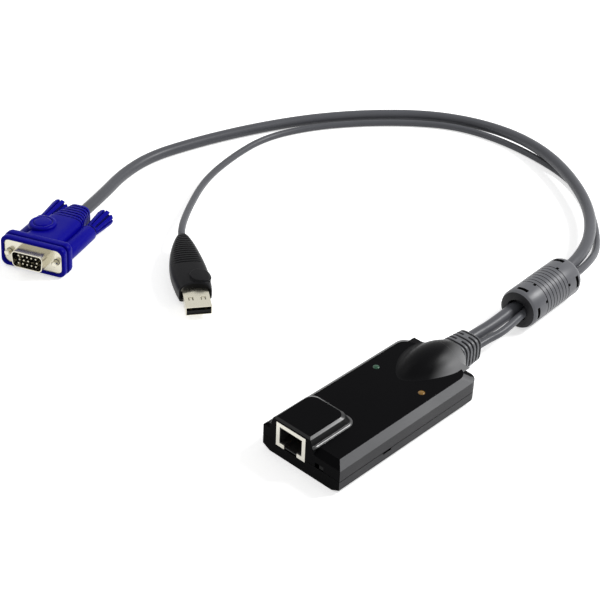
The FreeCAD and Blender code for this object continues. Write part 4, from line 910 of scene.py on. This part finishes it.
def frame_surface():
    """Two-layer frame round the flange: the section grows and shrinks along y in steps with soft edges."""
    profile = np.array([
        # y, half width, half height
        (0.8, 12.0, 3.0), (0.8, 15.3, 6.1), (-0.7, 15.45, 6.2), (-0.95, 15.7, 6.4), (-1.05, 16.1, 6.9),
        (-0.95, 16.5, 7.25), (-0.65, 16.85, 7.6), (-0.2, 17.0, 7.75), (1.9, 17.0, 7.75), (2.3, 16.8, 7.6),
        (2.5, 16.4, 7.2), (2.6, 16.0, 6.9), (3.2, 16.0, 6.9), (3.3, 16.5, 7.3), (3.5, 17.0, 7.65),
        (3.9, 17.25, 7.85), (6.3, 17.2, 7.8), (7.0, 17.0, 7.65), (7.5, 16.5, 7.2), (7.75, 15.7, 6.6),
        (7.8, 14.0, 5.0), (7.8, 6.0, 2.0)])
    yy, aa = round_grid(profile[:, 0], 288)
    wide, high = spread(profile[:, 1], aa), spread(profile[:, 2], aa)
    # rounded rectangle, whose corner radius is less where the section is low
    radius = np.minimum(3.2, high * 0.8)
    c, s = np.cos(aa), np.sin(aa)
    reach_x, reach_z = wide / np.maximum(np.abs(c), 1e-9), high / np.maximum(np.abs(s), 1e-9)
    flat = np.minimum(reach_x, reach_z)
    x, z = flat * c, flat * s
    over_x, over_z = np.abs(x) - (wide - radius), np.abs(z) - (high - radius)
    corner = (over_x > 0) & (over_z > 0)
    length = np.hypot(over_x, over_z)
    pull = np.minimum(np.where(corner, radius / np.maximum(length, 1e-9), 1.0), 1.0)
    x = np.where(corner, np.sign(x) * (wide - radius + over_x * pull), x)
    z = np.where(corner, np.sign(z) * (high - radius + over_z * pull), z)
    return np.stack([x, yy, z], axis=-1)


def knob_surface():
    """Screw knob: circles that widen along y, pressed in by eight rounded flutes around."""
    stations = [(33.1, 1.5), (33.1, 2.6), (33.25, 3.0), (33.6, 3.25), (34.2, 3.35), (48.6, 4.45), (49.4, 4.4),
                (49.9, 4.1), (50.1, 3.6), (50.1, 2.0), (50.1, 0.3)]
    table = np.array(stations)
    steps = np.linspace(0, len(table) - 1, 8 * (len(table) - 1) + 1)
    y = np.interp(steps, np.arange(len(table)), table[:, 0])
    radius = np.interp(steps, np.arange(len(table)), table[:, 1])
    yy, aa = round_grid(y, 160)
    flute = smooth_step(np.cos(KNOB_FLUTES * aa), 0.35, 0.85) * smooth_step(yy, 34.4, 36.0)
    rr = radius[:, None] - 1.35 * flute * smooth_step(radius[:, None], 2.5, 3.2)
    # The second result is a mask of painted shade: the flutes, and the front end in the gap by the sleeve,
    # are darkened.
    return turned(rr, yy, aa), np.maximum(flute * 0.8, yy < 33.7)


def sleeve_surface():
    """Jackscrew sleeve: a tube section with a rounded rear edge, open at its bore."""
    stations = np.array([(6.5, 4.1), (12.0, 4.1), (20.0, 4.1), (31.6, 4.05), (32.1, 3.95), (32.4, 3.7),
                         (32.5, 3.3), (32.5, 1.6), (30.0, 1.5)])
    yy, aa = round_grid(stations[:, 0], 96)
    return turned(spread(stations[:, 1], aa), yy, aa)


def shifted(place, x):
    """The same plug frame with its origin moved along its own X axis, in millimetres."""
    _, turn, tilt = place
    moved = place_matrix(place) @ Vector((x * MM, 0, 0))
    return (tuple(moved / MM), turn, tilt)


class DONGLE_OT_vga_plug(bpy.types.Operator):
    """Adds the VGA plug's hood, frame, button, sleeves and knobs, and finishes its metal parts"""

    bl_idname = "dongle.vga_plug"
    bl_label = "VGA plug"

    def execute(self, context):
        settings = context.scene.dongle_plugs
        blue = blue_material(settings)
        steel = steel_material(settings)
        points, groove = hood_surface()
        ribbed = grained_material("Blue ribs", settings.vga_colour, 0.36, 1200.0, 0.15, 0.15, specular=0.05)
        # Painted shade: the sunk bands between the hood's ribs, and the knobs' flutes and front ends, are
        # darkened for the shade in them.
        shade_grooves(ribbed, (0.001, 0.001, 0.04))
        hood = grid_mesh("plug_hood", points, ribbed, "adapter", VGA_PLACE, caps=True,
                         attributes={"groove": groove})
        frame = grid_mesh("plug_frame", frame_surface(), blue, "adapter", VGA_PLACE)
        crown = grid_mesh("hood_crown", crown_surface(), blue, "adapter", VGA_PLACE, caps=True)
        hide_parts("vga_hood")
        for side, sign in (("left", -1), ("right", 1)):
            place = shifted(VGA_PLACE, sign * SCREW_OUT)
            sleeve = grid_mesh(f"{side}_sleeve", sleeve_surface(), blue, "adapter", place)
            knob_points, flute = knob_surface()
            knob = grid_mesh(f"{side}_knob", knob_points, ribbed, f"{side}_thumbscrew", place,
                             attributes={"groove": flute})
            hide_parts(f"{side}_screw_knob")
            finish_node(f"{side}_jackscrew", steel)
        finish_node("vga_shell", steel)
        finish_node("vga_insulator", plain_material("Pin carrier", (0.004, 0.004, 0.005), 0.4, specular=0.1))
        finish_node("vga_pins", plain_material("Pin plating", (0.5, 0.47, 0.38), 0.25, metallic=1.0))
        return {"FINISHED"}


# ------------------------------------------------------------------------------- USB plug

GRIP_RIBS, GRIP_RIBS_FRONT, GRIP_RIB_PITCH = 13, 33.0, 1.9
GRIP_END, GRIP_BEND = 59.5, 0.9
# Mouth: half sizes and squareness of its edge, and centre and radius of the scallop.
MOUTH_WIDE, MOUTH_HIGH, MOUTH_POWER = 7.7, 4.5, 3.8
SCALLOP_Y, SCALLOP_RADIUS = 4.3, 10.5
PAD_X, PAD_Y, PAD_WIDE, PAD_LONG = 3.5, 19.7, 5.0, 4.9
TAB_X, TAB_Z = 2.85, 2.12
GRIP_STATIONS = [
    # y, half width, half height, squareness
    (5.5, 7.2, 4.2, 4.2), (10.5, 7.5, 4.5, 3.8), (16.0, 8.3, 4.9, 3.5), (22.0, 8.75, 5.1, 3.2),
    (28.0, 8.9, 5.1, 3.0), (34.0, 8.5, 5.0, 2.9), (40.0, 7.7, 4.75, 2.8), (46.0, 6.6, 4.35, 2.7),
    (52.0, 5.15, 3.75, 2.6), (56.0, 3.9, 3.15, 2.5), (58.5, 2.95, 2.65, 2.4), (59.5, 2.4, 2.35, 2.3)]


def grip_mouth(x):
    """Front edge of the grip: a circular scallop, deepest in the middle."""
    return SCALLOP_Y + np.sqrt(np.maximum(SCALLOP_RADIUS ** 2 - x ** 2, 0.0))


def grip_surface():
    """USB grip: superellipse sections along y, a scalloped mouth, a round crown and fine cross ribs.

    The front rows are pushed back to the circle of the scallop.  The ribs stand over the rear half,
    on top and below, as soft pulses along y that fade out at the sides.  The round pad bulges past one
    side, and the whole grip bends a little the other way as half a sine.
    """
    share, aa = round_grid(np.linspace(0.0, 1.0, 420), 224)
    mouth = grip_mouth(super_section(aa, MOUTH_WIDE, MOUTH_HIGH, MOUTH_POWER)[0])
    yy = mouth + (GRIP_END - mouth) * share
    wide, high, power = (along(GRIP_STATIONS, yy, column) for column in (1, 2, 3))
    x, z = super_section(aa, wide, high, power)
    ribs = pulses(yy, GRIP_RIBS_FRONT + GRIP_RIB_PITCH * np.arange(GRIP_RIBS), 0.48, 0.3)
    band = smooth_step(yy, 31.6, 32.1) * smooth_step(-yy, -57.4, -56.8)
    flat = smooth_step(-np.abs(x) / wide, -0.8, -0.55)
    z = z - np.sign(z) * 0.5 * band * (1 - ribs) * flat
    oval = ((x - PAD_X) / PAD_WIDE) ** 2 + ((yy - PAD_Y) / PAD_LONG) ** 2
    pad = smooth_step(-oval, -1.0, -0.8) * smooth_step(z, 0.2, 1.6)
    z = z + pad * 1.1
    x = x + pad * 0.8 * smooth_step(x, 5.0, 7.0)
    x = x - GRIP_BEND * np.sin(np.clip((yy - 14.0) / 45.0, 0, 1) * math.pi)
    # soft lip round the mouth
    shrink = 1 - 0.06 * smooth_step(-share, -0.012, 0.0)
    # The second result is a mask of painted shade for the sunk bands between the ribs.
    return np.stack([x * shrink, yy, z * shrink], axis=-1), band * (1 - ribs) * flat


def grip_front():
    """Rear wall of the scallop: from the shell out to the mouth's edge, as a ring of straight lines."""
    share, aa = round_grid(np.linspace(0.0, 1.0, 12), 224)
    outer_x, outer_z = super_section(aa, MOUTH_WIDE * 0.94, MOUTH_HIGH * 0.94, MOUTH_POWER)
    inner_x, inner_z = super_section(aa, 5.95, 2.18, 12.0)
    x = inner_x + (outer_x - inner_x) * share
    z = inner_z + (outer_z - inner_z) * share
    return np.stack([x, grip_mouth(x), z], axis=-1)


def tab_surface(sign):
    """Spring tab in a window of the shell: a thin leaf that dips towards the plug's root as a cosine."""
    y = np.linspace(5.25, 7.6, 24)
    yy, aa = round_grid(y, 32)
    x, z = super_section(aa, 1.1, 0.09, 6.0)
    dip = 0.1 * (1 - np.cos((yy - y[0]) / (y[-1] - y[0]) * math.pi)) / 2
    return np.stack([x + sign * TAB_X, yy, z + TAB_Z - dip], axis=-1)


class DONGLE_OT_usb_plug(bpy.types.Operator):
    """Adds the USB plug's grip and spring tabs, and finishes its shell, tongue and contacts"""

    bl_idname = "dongle.usb_plug"
    bl_label = "USB plug"

    def execute(self, context):
        settings = context.scene.dongle_plugs
        black = grained_material("Grip moulding", settings.usb_colour, 0.36, 1200.0, 0.15, 0.1, specular=0.09)
        # Painted shade: the sunk bands between the grip's ribs are darkened for the shade in them.
        shade_grooves(black, (0.001, 0.001, 0.001))
        front, (surface, groove) = grip_front(), grip_surface()
        body = np.concatenate([front, surface], axis=0)
        groove = np.concatenate([np.zeros(front.shape[:2]), groove], axis=0)
        grip = grid_mesh("usb_moulded_grip", body, black, "adapter", USB_PLACE, attributes={"groove": groove})
        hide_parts("usb_grip")
        steel = steel_material(settings)
        finish_node("usb_shell", steel)
        for side, sign in (("left", -1), ("right", 1)):
            tab = grid_mesh(f"{side}_spring_tab", tab_surface(sign), steel, "adapter", USB_PLACE, caps=True)
        finish_node("usb_insulator", plain_material("Tongue", (0.006, 0.006, 0.006), 0.4, specular=0.15))
        finish_node("usb_contacts", gold_material())
        return {"FINISHED"}


# ------------------------------------------------------------------------------- stage

CAMERA_AIM = (-84.2, 44.56, 0.0)
CAMERA_AZIMUTH, CAMERA_ELEVATION, CAMERA_ROLL = 42.28, 33.832, 2.275
CAMERA_DISTANCE = 721.57
CAMERA_LENS = 92.83
ROOM_LIGHT, FLOOR_GLOW, FILL_SHARE = 0.42, 0.55, 0.12
FLOOR_HALF = 3000.0


def camera_matrix():
    """Camera that looks at its aim from an azimuth and elevation, rolled about its own line of sight."""
    azimuth, elevation, roll = (math.radians(v) for v in (CAMERA_AZIMUTH, CAMERA_ELEVATION, CAMERA_ROLL))
    back = Vector((math.sin(azimuth) * math.cos(elevation), -math.cos(azimuth) * math.cos(elevation),
                   math.sin(elevation)))
    right = Vector((math.cos(azimuth), math.sin(azimuth), 0.0))
    up = back.cross(right)
    turned_right = right * math.cos(roll) + up * math.sin(roll)
    turned_up = up * math.cos(roll) - right * math.sin(roll)
    matrix = Matrix((turned_right, turned_up, back)).transposed().to_4x4()
    matrix.translation = (Vector(CAMERA_AIM) + back * CAMERA_DISTANCE) * MM
    return matrix


def soft_lamp(name, place, aim, size, power):
    """Square area lamp at a place, turned to its aim, in metres."""
    data = bpy.data.lights.new(name, "AREA")
    data.energy = power
    data.size = size
    lamp = add_object(name, data)
    lamp.location = place
    lamp.rotation_euler = (Vector(aim) - Vector(place)).to_track_quat("-Z", "Y").to_euler()


def seen_ray(tree):
    """1 for camera, glossy and transmission rays, so that gloss and glass show the pale background too."""
    path = tree.nodes.new("ShaderNodeLightPath")
    value = path.outputs["Is Camera Ray"]
    for other in ("Is Glossy Ray", "Is Transmission Ray"):
        value = math_node(tree, "MAXIMUM", value, path.outputs[other])
    return value


def pale_world():
    """World that lights softly and shows plain white to the camera, to gloss and through glass."""
    world = bpy.data.worlds.new("Pale room")
    world.use_nodes = True
    tree = world.node_tree
    tree.nodes.clear()
    room, seen = tree.nodes.new("ShaderNodeBackground"), tree.nodes.new("ShaderNodeBackground")
    set_inputs(room, {"Color": (1, 1, 1, 1), "Strength": ROOM_LIGHT})
    set_inputs(seen, {"Color": (1, 1, 1, 1), "Strength": 1.0})
    mix = tree.nodes.new("ShaderNodeMixShader")
    output = tree.nodes.new("ShaderNodeOutputWorld")
    tree.links.new(seen_ray(tree), mix.inputs["Fac"])
    tree.links.new(room.outputs[0], mix.inputs[1])
    tree.links.new(seen.outputs[0], mix.inputs[2])
    tree.links.new(mix.outputs[0], output.inputs["Surface"])
    bpy.context.scene.world = world


def floor_material():
    """Matte white floor with emission added where it is seen, so that it shows pale round the shadows."""
    material = plain_material("Pale floor", (0.9, 0.9, 0.9), 0.9)
    tree = material.node_tree
    shader = tree.nodes["Principled BSDF"]
    glow = tree.nodes.new("ShaderNodeEmission")
    glow.inputs["Strength"].default_value = FLOOR_GLOW
    both = tree.nodes.new("ShaderNodeAddShader")
    tree.links.new(shader.outputs[0], both.inputs[0])
    tree.links.new(glow.outputs[0], both.inputs[1])
    mix = tree.nodes.new("ShaderNodeMixShader")
    tree.links.new(seen_ray(tree), mix.inputs["Fac"])
    tree.links.new(shader.outputs[0], mix.inputs[1])
    tree.links.new(both.outputs[0], mix.inputs[2])
    tree.links.new(mix.outputs[0], tree.nodes["Material Output"].inputs["Surface"])
    return material


class DONGLE_OT_stage(bpy.types.Operator):
    """Adds the floor, the soft lamps, the pale world and the camera"""

    bl_idname = "dongle.stage"
    bl_label = "Stage"

    def execute(self, context):
        settings = context.scene.dongle_stage
        far = FLOOR_HALF
        points = np.array([[(-far, -far, 0.0), (far, -far, 0.0)], [(-far, far, 0.0), (far, far, 0.0)]])
        floor = grid_mesh("floor", points, floor_material(), "adapter", close_u=False)
        aim = (-0.1, 0.08, 0.0)
        soft_lamp("Main lamp", (0.38, 0.76, 0.75), aim, 0.32, settings.lamp_power)
        soft_lamp("Fill lamp", (-0.75, -0.1, 0.8), aim, 0.5, settings.lamp_power * FILL_SHARE)
        pale_world()
        camera_data = bpy.data.cameras.new("Camera")
        camera_data.lens = CAMERA_LENS
        camera_data.sensor_width = 36.0
        camera_data.clip_start, camera_data.clip_end = 0.01, 20.0
        camera = add_object("Camera", camera_data)
        camera.matrix_world = camera_matrix()
        context.scene.camera = camera
        context.scene.view_settings.view_transform = "Standard"
        return {"FINISHED"}


# ------------------------------------------------------------------------------- panel and run

class DONGLE_PT_panel(bpy.types.Panel):
    """Lists the sizes and colours, and one button for each piece"""

    bl_idname = "DONGLE_PT_panel"
    bl_label = "KVM dongle"
    bl_space_type = "VIEW_3D"
    bl_region_type = "UI"
    bl_category = "KVM dongle"

    def draw(self, context):
        layout = self.layout
        for group in ("dongle_box", "dongle_lead", "dongle_plugs", "dongle_stage"):
            settings = getattr(context.scene, group)
            box = layout.box()
            for name in settings.__annotations__:
                box.prop(settings, name)
        for operator in OPERATORS:
            layout.operator(operator.bl_idname)


OPERATORS = (DONGLE_OT_covers, DONGLE_OT_jack, DONGLE_OT_switch, DONGLE_OT_lamps, DONGLE_OT_board,
             DONGLE_OT_boot, DONGLE_OT_ferrite, DONGLE_OT_vga_plug, DONGLE_OT_usb_plug, DONGLE_OT_cables,
             DONGLE_OT_stage)
SETTINGS = (("dongle_box", DONGLE_PG_box), ("dongle_lead", DONGLE_PG_lead), ("dongle_plugs", DONGLE_PG_plugs),
            ("dongle_stage", DONGLE_PG_stage))


def register():
    for name, group in SETTINGS:
        bpy.utils.register_class(group)
        setattr(bpy.types.Scene, name, PointerProperty(type=group))
    for operator in OPERATORS:
        bpy.utils.register_class(operator)
    bpy.utils.register_class(DONGLE_PT_panel)


def unregister():
    bpy.utils.unregister_class(DONGLE_PT_panel)
    for operator in reversed(OPERATORS):
        bpy.utils.unregister_class(operator)
    for name, group in reversed(SETTINGS):
        delattr(bpy.types.Scene, name)
        bpy.utils.unregister_class(group)


def main():
    register()
    for operator in OPERATORS:
        family, action = operator.bl_idname.split(".")
        getattr(getattr(bpy.ops, family), action)()


if __name__ == "__main__":
    main()
